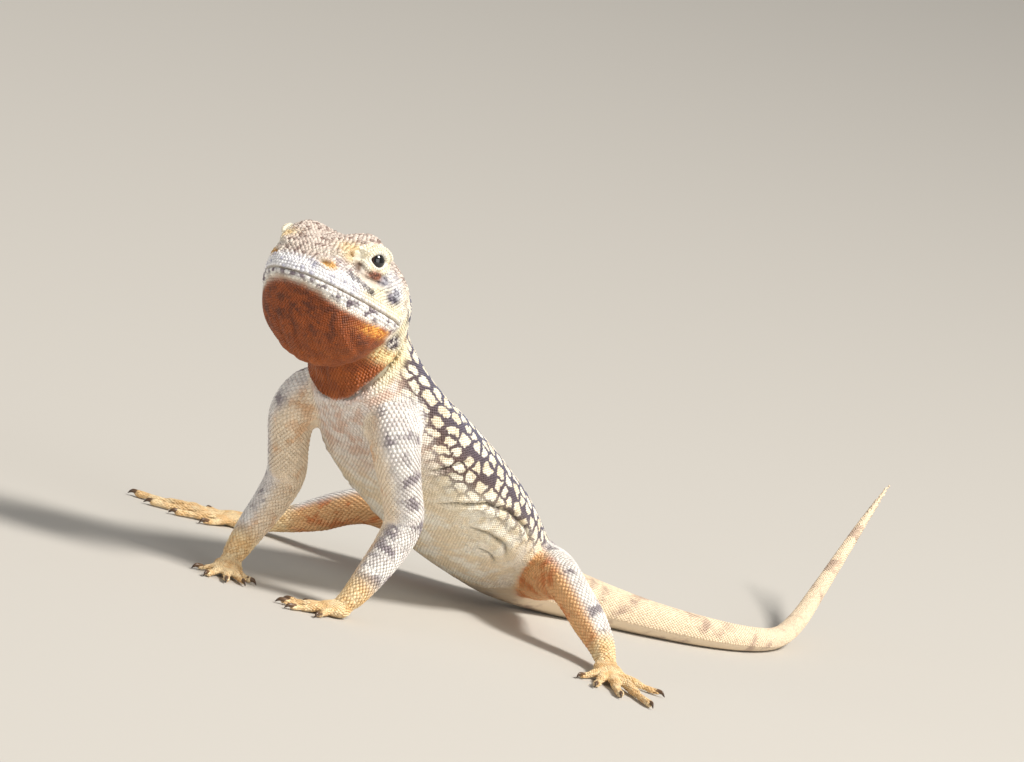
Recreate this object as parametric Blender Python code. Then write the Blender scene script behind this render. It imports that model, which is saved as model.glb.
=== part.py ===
"""A central netted dragon at life size, alert on straight forelegs, with its hind feet and tail on the floor.

Metres, +Z up, the floor at z = 0. The head points to -Y and the animal's left side to +X. The sizes below
are in millimetres and become metres where a mesh is made.
"""

import math
from collections import namedtuple

import bmesh
import bpy
import numpy as np
from mathutils import Matrix, Vector

MM = 0.001
GAP = 0.3  # clear space between neighbouring pieces
FLOOR_DEPTH = 20.0  # thickness of the block that levels the soles and the tail
FLOOR_REACH = 600.0

# The head has its own axes, from the tip of the upper lip: back along the skull, to the left, and up.
SNOUT_TIP = Vector((-1.1, -20.6, 52.0))
HEAD_PITCH = math.radians(8.4)
HEAD_YAW = math.radians(-2.4)
HEAD_ROLL = math.radians(6.0)
HEAD_SIDES = 36
HEAD_RINGS_PER_SPAN = 3
JOINT_BACK = 21.0  # where head and neck meet, back from the lip
JOINT_UP = -2.2
JOINT_TILT = math.radians(25.0)
JOINT_BLOCK = 40.0  # wider than the head and the neck

EYE_RADIUS = 1.95
EYE_PLACE = (10.1, 7.6, 4.6)  # back, out, up
EYE_AIM = (-0.34, 0.93, 0.10)
LID_THICKNESS = 0.4
LID_STRETCH = 1.22  # how much longer the lids are than high
LID_OPENING = (1.45, 0.95)  # half length and half height of the gap between the lids
LID_SLIM = 0.3  # how much the gap narrows toward its corners
NOSTRIL_PLACE = (1.8, 4.9, 2.2)
NOSTRIL_RADII = (0.8, 0.7, 0.5)  # along the head, across it and up
EAR_PLACE = (18.9, 10.0, -1.6)
EAR_RADII = (1.1, 1.2, 1.5)
MOUTH_CORNER_BACK = 18.0
MOUTH_TIP_BACK = -0.55  # the lips reach this far ahead of the first full section
MOUTH_POINTS = 12  # on each side of the snout
LIP_RADIUS = 0.62
LIP_SINK = 0.6  # share of its radius that a lip's middle lies under the skin
LIP_OFFSET = 0.6  # the middle of each lip above or below the line of the mouth
MOUTH_LINE_RADIUS = 0.2

TRUNK_SIDES = 26
TAIL_SIDES = (18, 14, 12)  # base, middle and end
LIMB_SIDES = 12
DIGIT_SIDES = 7
CLAW_SIDES = 6
NECK_SPACING = 2.0  # between the rings of a piece, along it
TRUNK_SPACING = 2.4
TAIL_SPACING = (3.2, 3.6, 4.0)
LIMB_SPACING = 2.6

CREST_HEIGHT = 1.15
CREST_SPACING = 1.5
CREST_BASE_RADIUS = 0.6
CREST_TIP_RADIUS = 0.12
CREST_ROOT = 0.9  # how far a spine is sunk into the nape
CREST_MARGIN = 2.0  # kept free of spines beside each joint of the body
CREST_ON_TORSO = 9.5

Section = namedtuple("Section", "x y z half_width rise drop square")
HeadSection = namedtuple("HeadSection", "back centre_up tilt half_width rise drop square")
Bump = namedtuple("Bump", "back out up long wide high rise")

# Skull and jaws, from the snout to the joint with the neck.
HEAD_SECTIONS = (
    HeadSection(-0.55, 0.1, 0.0, 1.7, 0.9, 1.0, 2.0),
    HeadSection(0.0, 0.1, 0.0, 3.1, 1.7, 1.8, 2.0),
    HeadSection(1.2, 0.1, 0.0, 4.9, 3.1, 3.2, 2.0),
    HeadSection(3.0, 0.1, 0.0, 6.5, 4.8, 5.4, 2.1),
    HeadSection(5.5, 0.0, 0.0, 8.0, 6.6, 8.0, 2.2),
    HeadSection(8.5, -0.3, 0.0, 9.3, 7.9, 10.2, 2.3),
    HeadSection(11.5, -0.8, 0.0, 10.1, 8.9, 11.7, 2.3),
    HeadSection(14.5, -1.5, 0.10, 10.4, 9.4, 12.2, 2.3),
    HeadSection(17.5, -2.1, 0.25, 10.2, 9.2, 11.4, 2.2),
    HeadSection(19.6, -2.4, 0.36, 9.6, 8.4, 10.2, 2.2),
    HeadSection(JOINT_BACK, JOINT_UP, JOINT_TILT, 8.9, 7.6, 9.6, 2.1),
)

# Swellings and hollows of the skull on each side: where, how far they reach, and how high they rise.
HEAD_BUMPS = (
    Bump(10.4, 5.8, 7.8, 4.2, 2.5, 3.0, 2.0),
    Bump(9.5, 0.0, 8.2, 5.0, 2.6, 3.0, -0.8),
    Bump(8.6, 8.0, 5.6, 3.2, 1.8, 1.8, 1.1),
    Bump(6.2, 6.3, 5.2, 1.9, 1.4, 1.3, 0.5),
    Bump(4.2, 5.1, 4.3, 1.6, 1.3, 1.2, 0.5),
    Bump(1.9, 4.3, 2.2, 1.4, 1.3, 1.2, 0.4),
    Bump(5.8, 7.4, 2.7, 2.2, 1.8, 1.3, -0.5),
    Bump(15.4, 8.4, 4.8, 3.2, 2.6, 2.6, -1.2),
    Bump(17.0, 9.6, -3.4, 3.2, 3.2, 3.0, 0.9),
    Bump(8.5, 6.5, -6.5, 5.5, 4.0, 4.0, 0.9),
)

# Neck, body and tail behind the head: the middle of each section, its half width, its height above and below.
TRUNK_SECTIONS = (
    Section(-1.5, 2.6, 42.6, 8.0, 5.8, 9.8, 2.0),
    Section(-0.8, 5.6, 38.4, 8.8, 5.6, 10.2, 2.1),
    Section(0.0, 10.0, 33.2, 11.0, 6.2, 10.0, 2.1),
    Section(0.0, 18.0, 27.4, 13.2, 7.6, 9.8, 2.1),
    Section(0.0, 28.0, 21.9, 14.0, 8.0, 9.6, 2.1),
    Section(0.0, 38.7, 16.2, 13.4, 7.8, 9.2, 2.1),
    Section(0.0, 48.3, 11.4, 11.2, 6.9, 8.0, 2.1),
    Section(0.0, 55.5, 7.8, 8.6, 5.9, 6.6, 2.1),
    Section(1.2, 62.5, 5.2, 5.8, 4.6, 5.0, 2.0),
    Section(5.4, 71.0, 3.8, 4.3, 3.8, 4.0, 2.0),
    Section(12.0, 80.0, 3.0, 3.3, 3.0, 3.1, 2.0),
    Section(17.0, 90.4, 2.5, 2.7, 2.5, 2.6, 2.0),
    Section(18.6, 101.6, 2.1, 2.3, 2.1, 2.2, 2.0),
    Section(16.4, 113.0, 2.0, 2.0, 1.8, 1.9, 2.0),
    Section(12.0, 124.0, 3.6, 1.8, 1.6, 1.6, 2.0),
    Section(7.0, 135.0, 7.2, 1.5, 1.4, 1.4, 2.0),
    Section(2.4, 145.8, 12.2, 1.2, 1.15, 1.15, 2.0),
    Section(-1.6, 156.0, 17.8, 0.85, 0.8, 0.8, 2.0),
    Section(-4.8, 165.2, 23.4, 0.4, 0.4, 0.4, 2.0),
)
NECK_LEAD = 3.0  # the neck is first made this much too long and then cut at the head's face
NECK_END = 12.5  # these are places along the line from the head to the tip of the tail
TORSO_END = 66.0
TAIL_BASE_END = 106.0
TAIL_MIDDLE_END = 146.0
TRUNK_CUTTER_START = 1.0  # the stretch of the body that the limbs are cut back from
TRUNK_CUTTER_END = 92.0

LimbSection = namedtuple("LimbSection", "x y z radius")

FORELEG = (
    LimbSection(4.4, 9.0, 32.4, 4.4),
    LimbSection(8.0, 4.6, 30.8, 4.5),
    LimbSection(10.4, 3.6, 27.0, 3.9),
    LimbSection(11.4, 6.0, 21.6, 3.3),
    LimbSection(11.9, 8.4, 16.6, 3.15),
    LimbSection(12.0, 7.2, 12.4, 2.9),
    LimbSection(11.9, 4.2, 7.8, 2.5),
    LimbSection(11.6, 1.5, 3.9, 2.0),
    LimbSection(11.0, -0.2, 1.9, 1.5),
)
HINDLEG = (
    LimbSection(3.5, 56.5, 8.0, 4.9),
    LimbSection(8.4, 53.0, 8.8, 4.9),
    LimbSection(14.4, 48.4, 9.9, 4.1),
    LimbSection(19.8, 44.6, 10.0, 3.2),
    LimbSection(23.8, 43.2, 8.4, 2.9),
    LimbSection(27.6, 42.6, 6.1, 2.8),
    LimbSection(31.4, 41.4, 4.0, 2.3),
    LimbSection(34.4, 39.4, 2.5, 1.8),
    LimbSection(36.6, 37.4, 1.7, 1.5),
)
Digit = namedtuple("Digit", "angle length start radius")
HAND_DIGITS = (
    Digit(-52.0, 3.4, 1.5, 0.66),
    Digit(-24.0, 4.7, 2.2, 0.70),
    Digit(-2.0, 5.7, 2.4, 0.72),
    Digit(20.0, 5.8, 2.3, 0.70),
    Digit(50.0, 4.0, 1.6, 0.64),
)
FOOT_DIGITS = (
    Digit(-44.0, 4.5, 3.6, 0.68),
    Digit(-22.0, 6.6, 4.8, 0.74),
    Digit(-5.0, 9.2, 5.4, 0.78),
    Digit(10.0, 12.2, 5.2, 0.80),
    Digit(56.0, 7.2, 1.4, 0.70),
)
TOE_RINGS = 6
TOE_ARCH = 0.75  # how high the middle of a toe stands over the floor
TOE_SINK = 0.12  # how deep its underside reaches before it is cut level
CLAW_LENGTH = 1.5
CLAW_RADII = (0.42, 0.32, 0.08)

Foot = namedtuple("Foot", "ahead height turn digits palm_radii")
FOREFOOT = Foot(0.9, 1.25, math.radians(-36.0), HAND_DIGITS, (2.7, 2.5, 1.35))
HINDFOOT = Foot(1.6, 1.3, math.radians(50.0), FOOT_DIGITS, (4.2, 2.4, 1.45))

Limb = namedtuple("Limb", "sections pieces upper_end lower_end foot")
LIMBS = (
    Limb(FORELEG, ("upper_arm", "forearm", "forefoot"), 22.5, 37.0, FOREFOOT),
    Limb(HINDLEG, ("thigh", "shin", "hindfoot"), 21.5, 35.5, HINDFOOT),
)
LEFT_SIDE = (1, "left", 0.0)  # side, name, and how far back the last section of a limb moves
RIGHT_SIDE = (-1, "right", -1.5)

Finish = namedtuple("Finish", "colour roughness")
SKIN = Finish((0.66, 0.55, 0.37), 0.62)
HEAD_SKIN = Finish((0.63, 0.47, 0.29), 0.6)
LEG_SKIN = Finish((0.69, 0.55, 0.36), 0.62)
TAIL_SKIN = Finish((0.60, 0.43, 0.25), 0.65)
EYE = Finish((0.02, 0.012, 0.01), 0.08)


def clear_scene():
    """Removes every object that the scene holds."""
    for item in list(bpy.data.objects):
        bpy.data.objects.remove(item, do_unlink=True)


def smooth_rows(rows, steps):
    """Rows of numbers on a smooth curve that passes through each given row."""
    table = np.array(rows, dtype=float)
    ends = np.vstack((2 * table[0] - table[1], table, 2 * table[-1] - table[-2]))
    found = []
    for first, second, third, fourth in zip(ends, ends[1:], ends[2:], ends[3:]):
        for step in range(steps):
            t = step / steps
            found.append(
                0.5
                * (
                    2 * second
                    + (third - first) * t
                    + (2 * first - 5 * second + 4 * third - fourth) * t**2
                    + (3 * second - first - 3 * third + fourth) * t**3
                )
            )
    found.append(table[-1])
    return np.array(found)


def head_axes():
    """The head's forward, left and up directions."""
    forward = Vector(
        (
            -math.sin(HEAD_YAW) * math.cos(HEAD_PITCH),
            -math.cos(HEAD_YAW) * math.cos(HEAD_PITCH),
            math.sin(HEAD_PITCH),
        )
    )
    left = Vector((0, 0, 1)).cross(forward).normalized()
    up = forward.cross(left)
    turn = Matrix.Rotation(HEAD_ROLL, 3, forward)
    return forward, turn @ left, turn @ up


FORWARD, LEFT, UP = head_axes()


def on_head(back, out, up):
    """A place given in the head's own axes."""
    return SNOUT_TIP - float(back) * FORWARD + float(out) * LEFT + float(up) * UP


def head_direction(back, out, up):
    """A direction given in the head's own axes."""
    return (-back * FORWARD + out * LEFT + up * UP).normalized()


def ring(centre, across, up, section, sides):
    """One cross-section: an oval, squarer where its power is over 2, with its own height above and below."""
    points = []
    for index in range(sides):
        angle = 2 * math.pi * index / sides
        cosine, sine = math.cos(angle), math.sin(angle)
        power = 2 / section.square
        out = math.copysign(abs(cosine) ** power, cosine) * section.half_width
        height = section.rise if sine >= 0 else section.drop
        points.append(centre + across * out + up * (math.copysign(abs(sine) ** power, sine) * height))
    return points


def body_from(name, rings):
    """One closed body through rings with the same number of points."""
    mesh = bmesh.new()
    layers = [[mesh.verts.new(point * MM) for point in points] for points in rings]
    count = len(layers[0])
    for near, far in zip(layers, layers[1:]):
        for index in range(count):
            after = (index + 1) % count
            mesh.faces.new((near[index], near[after], far[after], far[index]))
    mesh.faces.new(reversed(layers[0]))
    mesh.faces.new(layers[-1])
    bmesh.ops.triangulate(mesh, faces=mesh.faces[:])
    bmesh.ops.recalc_face_normals(mesh, faces=mesh.faces[:])
    return object_from(name, mesh)


def object_from(name, mesh):
    """An object of a finished bmesh, in the scene."""
    data = bpy.data.meshes.new(name)
    mesh.to_mesh(data)
    mesh.free()
    made = bpy.data.objects.new(name, data)
    bpy.context.scene.collection.objects.link(made)
    return made


LINE_STEPS = 12


class Line:
    """A smooth line through sections, read by the distance along it, with an untwisted direction across."""

    def __init__(self, sections, across, steps=LINE_STEPS):
        self.kind = type(sections[0])
        self.rows = smooth_rows(sections, steps)
        middles = self.rows[:, :3]
        spans = np.linalg.norm(np.diff(middles, axis=0), axis=1)
        self.places = np.concatenate(([0.0], np.cumsum(spans)))
        self.length = self.places[-1]
        tangents = np.gradient(middles, self.places, axis=0)
        self.tangents = tangents / np.linalg.norm(tangents, axis=1, keepdims=True)
        self.across = []
        side = np.array(across, dtype=float)
        for tangent in self.tangents:
            side = side - tangent * side.dot(tangent)
            side = side / np.linalg.norm(side)
            self.across.append(side)
        self.across = np.array(self.across)

    def read(self, table, place):
        """A row of a table of the line, at a place between its own rows."""
        return np.array([np.interp(place, self.places, column) for column in table.T])

    def section(self, place):
        """The sizes, middle, direction, left and up of the section at a place."""
        row = self.kind(*map(float, self.read(self.rows, place)))
        tangent = Vector(self.read(self.tangents, place)).normalized()
        across = Vector(self.read(self.across, place))
        across = (across - tangent * across.dot(tangent)).normalized()
        up = across.cross(tangent)
        return row, Vector((row.x, row.y, row.z)), tangent, across, up


def even_places(start, end, spacing):
    """Places at equal steps, nearly the wanted spacing apart, both ends included."""
    return np.linspace(start, end, max(2, round((end - start) / spacing) + 1)).tolist()


def trunk_line():
    """The line of the neck, body and tail, which starts at the face where the head ends."""
    joint, forward, _, _ = joint_frame()
    last = HEAD_SECTIONS[-1]
    sizes = (last.half_width, last.rise, last.drop, last.square)
    lead = joint + forward * NECK_LEAD
    rows = [Section(*lead, *sizes), Section(*joint, *sizes), *TRUNK_SECTIONS]
    line = Line(rows, LEFT)
    return line, line.places[LINE_STEPS]


def stretch(line, start, end, spacing):
    """The sections between two places. The end faces stay parallel to their neighbours', half a gap away."""
    places = even_places(start, end, spacing)
    for place in places:
        row, middle, tangent, across, up = line.section(place)
        if place == places[0]:
            middle = middle + tangent * (GAP / 2)
        if place == places[-1]:
            middle = middle - tangent * (GAP / 2)
        yield row, middle, across, up


def trunk_piece(name, line, start, end, spacing, sides, swell=0.0):
    """The stretch of the body between two places, larger all round by swell."""
    rings = []
    for row, middle, across, up in stretch(line, start, end, spacing):
        grown = row._replace(
            half_width=row.half_width + swell, rise=row.rise + swell, drop=row.drop + swell
        )
        rings.append(ring(middle, across, up, grown, sides))
    return body_from(name, rings)


RoundSection = namedtuple("RoundSection", "half_width rise drop square")


def round_section(radius):
    """The sizes of a round cross-section."""
    return RoundSection(radius, radius, radius, 2.0)


def limb_piece(name, line, start, end):
    """The stretch of a limb between two places."""
    rings = []
    for row, middle, across, up in stretch(line, start, end, LIMB_SPACING):
        rings.append(ring(middle, across, up, round_section(row.radius), LIMB_SIDES))
    return body_from(name, rings)


def tube(name, points, radii, sides, across):
    """A round body along points, with a radius at each."""
    rows = [LimbSection(*point, radius) for point, radius in zip(points, radii)]
    line = Line(rows, across, steps=1)
    rings = []
    for place in line.places:
        row, middle, _, side, up = line.section(place)
        rings.append(ring(middle, side, up, round_section(row.radius), sides))
    return body_from(name, rings)


def ball(name, centre, axes, radii, segments=16, rings=10):
    """An ellipsoid with its own axes and radii."""
    mesh = bmesh.new()
    bmesh.ops.create_uvsphere(mesh, u_segments=segments, v_segments=rings, radius=1.0)
    turn = Matrix([axis.normalized() for axis in axes]).transposed()
    shape = Matrix.LocRotScale(centre * MM, turn.to_quaternion(), Vector(radii) * MM)
    bmesh.ops.transform(mesh, matrix=shape, verts=mesh.verts[:])
    bmesh.ops.triangulate(mesh, faces=mesh.faces[:])
    bmesh.ops.recalc_face_normals(mesh, faces=mesh.faces[:])
    return object_from(name, mesh)


def cone_between(name, base, tip, base_radius, tip_radius, sides):
    """A tapered round piece from one place to another."""
    mesh = bmesh.new()
    along = tip - base
    bmesh.ops.create_cone(
        mesh,
        cap_ends=True,
        segments=sides,
        radius1=base_radius * MM,
        radius2=tip_radius * MM,
        depth=along.length * MM,
    )
    turn = along.to_track_quat("Z", "Y")
    place = Matrix.LocRotScale((base + tip) / 2 * MM, turn, None)
    bmesh.ops.transform(mesh, matrix=place, verts=mesh.verts[:])
    bmesh.ops.triangulate(mesh, faces=mesh.faces[:])
    return object_from(name, mesh)


def surface_area(group):
    """The area of the faces that some vertices carry."""
    faces = {face for vertex in group for face in vertex.link_faces}
    return sum(face.calc_area() for face in faces)


def keep_largest(item):
    """Leaves only the largest closed surface of a mesh."""
    mesh = bmesh.new()
    mesh.from_mesh(item.data)
    left = set(mesh.verts)
    groups = []
    while left:
        start = left.pop()
        group, waiting = {start}, [start]
        while waiting:
            for edge in waiting.pop().link_edges:
                for vertex in edge.verts:
                    if vertex in left:
                        left.discard(vertex)
                        group.add(vertex)
                        waiting.append(vertex)
        groups.append(group)
    groups.sort(key=surface_area)
    for group in groups[:-1]:
        bmesh.ops.delete(mesh, geom=list(group), context="VERTS")
    bmesh.ops.dissolve_degenerate(mesh, dist=1e-7, edges=mesh.edges[:])
    bmesh.ops.triangulate(mesh, faces=mesh.faces[:])
    mesh.to_mesh(item.data)
    mesh.free()


def combine(item, others, operation):
    """Joins others to a body, or cuts them from it, and removes them."""
    tools = bpy.data.collections.new(item.name + "_tools")
    for other in others:
        for holder in other.users_collection:
            holder.objects.unlink(other)
        tools.objects.link(other)
    change = item.modifiers.new(operation, "BOOLEAN")
    change.operation = operation
    change.operand_type = "COLLECTION"
    change.collection = tools
    change.solver = "EXACT"
    graph = bpy.context.evaluated_depsgraph_get()
    shape = bpy.data.meshes.new_from_object(item.evaluated_get(graph))
    item.modifiers.clear()
    item.data = shape
    for other in others:
        bpy.data.objects.remove(other, do_unlink=True)
    bpy.data.collections.remove(tools)
    keep_largest(item)
    return item


def block(name, middle, turn, size):
    """A closed box with its own middle, turn and sizes."""
    mesh = bmesh.new()
    bmesh.ops.create_cube(mesh, size=1.0)
    shape = Matrix.LocRotScale(middle * MM, turn, Vector(size) * MM)
    bmesh.ops.transform(mesh, matrix=shape, verts=mesh.verts[:])
    return object_from(name, mesh)


def level(item):
    """Cuts off what reaches below the floor, which leaves a small flat."""
    size = (FLOOR_REACH, FLOOR_REACH, FLOOR_DEPTH)
    below = block("below_floor", Vector((0, 0, -FLOOR_DEPTH / 2)), None, size)
    return combine(item, [below], "DIFFERENCE")


def joint_frame():
    """The middle, forward, left and up directions of the face where the head meets the neck."""
    up = math.cos(JOINT_TILT) * UP - math.sin(JOINT_TILT) * FORWARD
    return on_head(JOINT_BACK, 0.0, JOINT_UP), LEFT.cross(up), LEFT, up


def joint_cutter(toward_head):
    """A block that fills one side of the face where head and neck meet, and half the gap between them."""
    joint, forward, left, up = joint_frame()
    way = forward if toward_head else -forward
    turn = Matrix((forward, left, up)).transposed().to_quaternion()
    return block("joint_side", joint + way * (JOINT_BLOCK - GAP) / 2, turn, (JOINT_BLOCK,) * 3)


def bump_height(back, out, up):
    """How far the swellings and hollows move the skin at a place on the head."""
    height = 0.0
    for bump in HEAD_BUMPS:
        off = (
            ((back - bump.back) / bump.long) ** 2
            + ((abs(out) - bump.out) / bump.wide) ** 2
            + ((up - bump.up) / bump.high) ** 2
        )
        height += bump.rise * math.exp(-off)
    return height


def head_rings():
    """The sections of the head, with the brows, snout ridges, cheeks and hollows raised in them."""
    rings = []
    for row in smooth_rows(HEAD_SECTIONS, HEAD_RINGS_PER_SPAN):
        section = HeadSection(*map(float, row))
        up = math.cos(section.tilt) * UP - math.sin(section.tilt) * FORWARD
        middle = on_head(section.back, 0.0, section.centre_up)
        points = []
        for point in ring(middle, LEFT, up, section, HEAD_SIDES):
            offset = point - SNOUT_TIP
            height = bump_height(-offset.dot(FORWARD), offset.dot(LEFT), offset.dot(UP))
            points.append(point + (point - middle).normalized() * height)
        rings.append(points)
    return rings


def head_surface_out(back, up):
    """How far out the side of the head is at a place, from its sections and bumps."""
    rows = smooth_rows(HEAD_SECTIONS, LINE_STEPS)
    sizes = [float(np.interp(back, rows[:, 0], column)) for column in rows.T]
    section = HeadSection(*sizes)
    height = up - section.centre_up
    share = min(abs(height) / (section.rise if height >= 0 else section.drop), 0.98)
    out = section.half_width * (1 - share**section.square) ** (1 / section.square)
    return out + bump_height(back, out, up)


def mouth_height(back):
    """The mouth line falls almost evenly from the snout to its corner."""
    share = max(back, 0.0) / MOUTH_CORNER_BACK
    return -0.3 - 3.4 * share**0.9


def mouth_points(offset, sink):
    """The line of the mouth, or one beside it and under the skin, from the left corner to the right one."""
    side = []
    for share in np.linspace(1.0, 0.0, MOUTH_POINTS).tolist():
        back = MOUTH_CORNER_BACK * share**1.6
        up = mouth_height(back) + offset
        side.append((back, head_surface_out(back, up) - sink, up))
    back, out, up = side.pop()
    left = [on_head(*place) for place in side]
    right = [on_head(back, -out, up) for back, out, up in reversed(side)]
    tip = [on_head(MOUTH_TIP_BACK + sink, out * share, up) for share in (0.75, 0.0, -0.75)]
    return left + tip + right


def lip(name, offset):
    """A soft ridge along the mouth, thinner toward its corners."""
    points = mouth_points(offset, LIP_SINK * LIP_RADIUS)
    shares = np.linspace(-1, 1, len(points)).tolist()
    radii = [LIP_RADIUS * (1 - 0.45 * share**4) for share in shares]
    return tube(name, points, radii, 8, UP)


def eye_axes(side):
    """The eye's outward, forward and upward directions."""
    aim = head_direction(EYE_AIM[0], side * EYE_AIM[1], EYE_AIM[2])
    along = (FORWARD - aim * FORWARD.dot(aim)).normalized()
    return aim, along, aim.cross(along)


def eye_ball(name, side, radius, segments, rings, stretch_along=1.0):
    """A ball round the middle of one eye, or one that is longer along the head."""
    back, out, up = EYE_PLACE
    radii = (radius, radius * stretch_along, radius)
    return ball(name, on_head(back, side * out, up), eye_axes(side), radii, segments, rings)


def lid_opening(name, side):
    """The cutter of the almond gap between the lids, which widens outward."""
    aim, along, over = eye_axes(side)
    back, out, up = EYE_PLACE
    centre = on_head(back, side * out, up)
    half_length, half_height = LID_OPENING
    sides = 16
    rings = []
    for reach, share in ((0.4, 0.85), (1.25, 1.0), (2.2, 1.7)):
        points = []
        for index in range(sides):
            angle = 2 * math.pi * index / sides
            cosine, sine = math.cos(angle), math.sin(angle)
            slim = 1 - LID_SLIM * cosine * cosine
            length, height = half_length * share * cosine, half_height * share * slim * sine
            points.append(centre + aim * (reach * EYE_RADIUS) + along * length + over * height)
        rings.append(points)
    return body_from(name, rings)


def pit(name, place, radii, side):
    """The cutter of a nostril or an ear on one side."""
    back, out, up = place
    return ball(name, on_head(back, side * out, up), (FORWARD, LEFT, UP), radii, 12, 8)


def make_head():
    """Skull, jaws, brows, lids, lips, nostrils and ears in one body."""
    skull = body_from("head", head_rings())
    added = [lip("upper_lip", LIP_OFFSET), lip("lower_lip", -LIP_OFFSET)]
    line_points = mouth_points(0.0, 0.0)
    cut = [tube("mouth_line", line_points, [MOUTH_LINE_RADIUS] * len(line_points), 6, UP)]
    for side in (1, -1):
        added.append(eye_ball("lids", side, EYE_RADIUS + GAP + LID_THICKNESS, 20, 12, LID_STRETCH))
        cut.append(eye_ball("socket", side, EYE_RADIUS + GAP, 16, 10))
        cut.append(lid_opening("opening", side))
        cut.append(pit("nostril", NOSTRIL_PLACE, NOSTRIL_RADII, side))
        cut.append(pit("ear", EAR_PLACE, EAR_RADII, side))
    cut.append(joint_cutter(False))
    combine(skull, added, "UNION")
    return combine(skull, cut, "DIFFERENCE")


def make_eyes():
    """The two eyeballs."""
    return [eye_ball(name, side, EYE_RADIUS, 18, 12) for side, name in ((1, "left_eye"), (-1, "right_eye"))]


def crest_spines(line, start, end):
    """A low row of pointed scales along the middle of the nape."""
    spines = []
    for place in even_places(start, end, CREST_SPACING):
        row, middle, tangent, _, up = line.section(place)
        surface = middle + up * row.rise
        lean = (up + tangent * 0.35).normalized()
        height = CREST_HEIGHT * (0.6 + 0.4 * math.sin(math.pi * (place - start) / (end - start)))
        root = surface - lean * CREST_ROOT
        spine_radii = (CREST_BASE_RADIUS, CREST_TIP_RADIUS)
        spines.append(cone_between("spine", root, surface + lean * height, *spine_radii, 5))
    return spines


def mirrored(sections, side, shift):
    """The sections of a limb on one side, moved a little so that left and right differ."""
    return [
        section._replace(x=section.x * side, y=section.y + shift * index / len(sections))
        for index, section in enumerate(sections)
    ]


def toe_and_claw(root, heading, side, digit):
    """A toe with slight knuckles and a curved claw, low over the floor."""
    way = Matrix.Rotation(math.radians(digit.angle) * side, 3, "Z") @ heading
    start = root + way * digit.start * 0.35
    reach = digit.start * 0.65 + digit.length
    points, radii = [], []
    for share in np.linspace(0, 1, TOE_RINGS).tolist():
        place = start + way * reach * share
        arch = TOE_ARCH * math.sin(math.pi * min(1.0, share * 1.15 + 0.1)) * (1 - share)
        place.z = digit.radius - TOE_SINK + arch
        knuckle = 1 + 0.1 * math.cos(4 * math.pi * share)
        points.append(place)
        radii.append(digit.radius * (1.12 - 0.34 * share) * knuckle)
    across = Vector((-way.y, way.x, 0))
    tip = points[-1]
    claw_points = [
        tip - way * 0.5 + Vector((0, 0, 0.1)),
        tip + way * CLAW_LENGTH * 0.5 + Vector((0, 0, 0.2)),
        tip + way * CLAW_LENGTH - Vector((0, 0, 0.35)),
    ]
    toe = tube("toe", points, radii, DIGIT_SIDES, across)
    return [toe, tube("claw", claw_points, CLAW_RADII, CLAW_SIDES, across)]


def make_foot(name, line, start, side, foot):
    """A foot: the end of the limb, the sole and five clawed toes, fused and cut level."""
    heading = Vector((side * math.sin(foot.turn), -math.cos(foot.turn), 0))
    sole = line.section(line.length)[1] + heading * foot.ahead
    sole.z = foot.height
    axes = (heading, Vector((-heading.y, heading.x, 0)), Vector((0, 0, 1)))
    pieces = [ball("sole", sole, axes, foot.palm_radii, 14, 8)]
    for digit in foot.digits:
        pieces.extend(toe_and_claw(sole, heading, side, digit))
    stub = limb_piece(name, line, start, line.length)
    return level(combine(stub, pieces, "UNION"))


def make_limb(limb, side_plan, trunk, start):
    """The two lengths of a limb, cut back from the body, and its foot."""
    side, side_name, shift = side_plan
    upper_name, lower_name, foot_name = (f"{side_name}_{piece}" for piece in limb.pieces)
    line = Line(mirrored(limb.sections, side, shift), (0.0, 0.0, 1.0))
    upper = limb_piece(upper_name, line, 0.0, limb.upper_end)
    first, last = start + TRUNK_CUTTER_START, start + TRUNK_CUTTER_END
    body = trunk_piece("body", trunk, first, last, TRUNK_SPACING, TRUNK_SIDES, GAP)
    combine(upper, [body], "DIFFERENCE")
    lower = limb_piece(lower_name, line, limb.upper_end, limb.lower_end)
    return [upper, lower, make_foot(foot_name, line, limb.lower_end, side, limb.foot)]


def finish(items, material_name, look):
    """Gives each object its own material and smooth shading."""
    material = bpy.data.materials.new(material_name)
    material.use_nodes = True
    shader = material.node_tree.nodes["Principled BSDF"]
    shader.inputs["Base Color"].default_value = (*look.colour, 1.0)
    shader.inputs["Roughness"].default_value = look.roughness
    for item in items:
        own = material.copy()
        own.name = item.name + "_finish"
        item.data.materials.clear()
        item.data.materials.append(own)
        item.data.shade_smooth()
        item.data.set_sharp_from_angle(angle=math.radians(50))


def place_on_origin(items):
    """Moves the whole animal so that the middle of its box's underside is the origin."""
    corners = np.array([vertex.co for item in items for vertex in item.data.vertices])
    low, high = corners.min(axis=0), corners.max(axis=0)
    shift = Vector((-(low[0] + high[0]) / 2, -(low[1] + high[1]) / 2, -low[2]))
    for item in items:
        item.location = shift


def make_neck(line, start):
    """The neck with its part of the crest, cut at the head's face."""
    end = start + NECK_END
    neck = trunk_piece("neck", line, start - NECK_LEAD, end, NECK_SPACING, TRUNK_SIDES)
    combine(neck, crest_spines(line, start + CREST_MARGIN, end - CREST_MARGIN), "UNION")
    return combine(neck, [joint_cutter(True)], "DIFFERENCE")


def make_torso(line, start):
    """The body between neck and tail, with the rear end of the crest."""
    front = start + NECK_END
    torso = trunk_piece("torso", line, front, start + TORSO_END, TRUNK_SPACING, TRUNK_SIDES)
    crest_start = front + CREST_MARGIN
    return combine(torso, crest_spines(line, crest_start, crest_start + CREST_ON_TORSO), "UNION")


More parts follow.
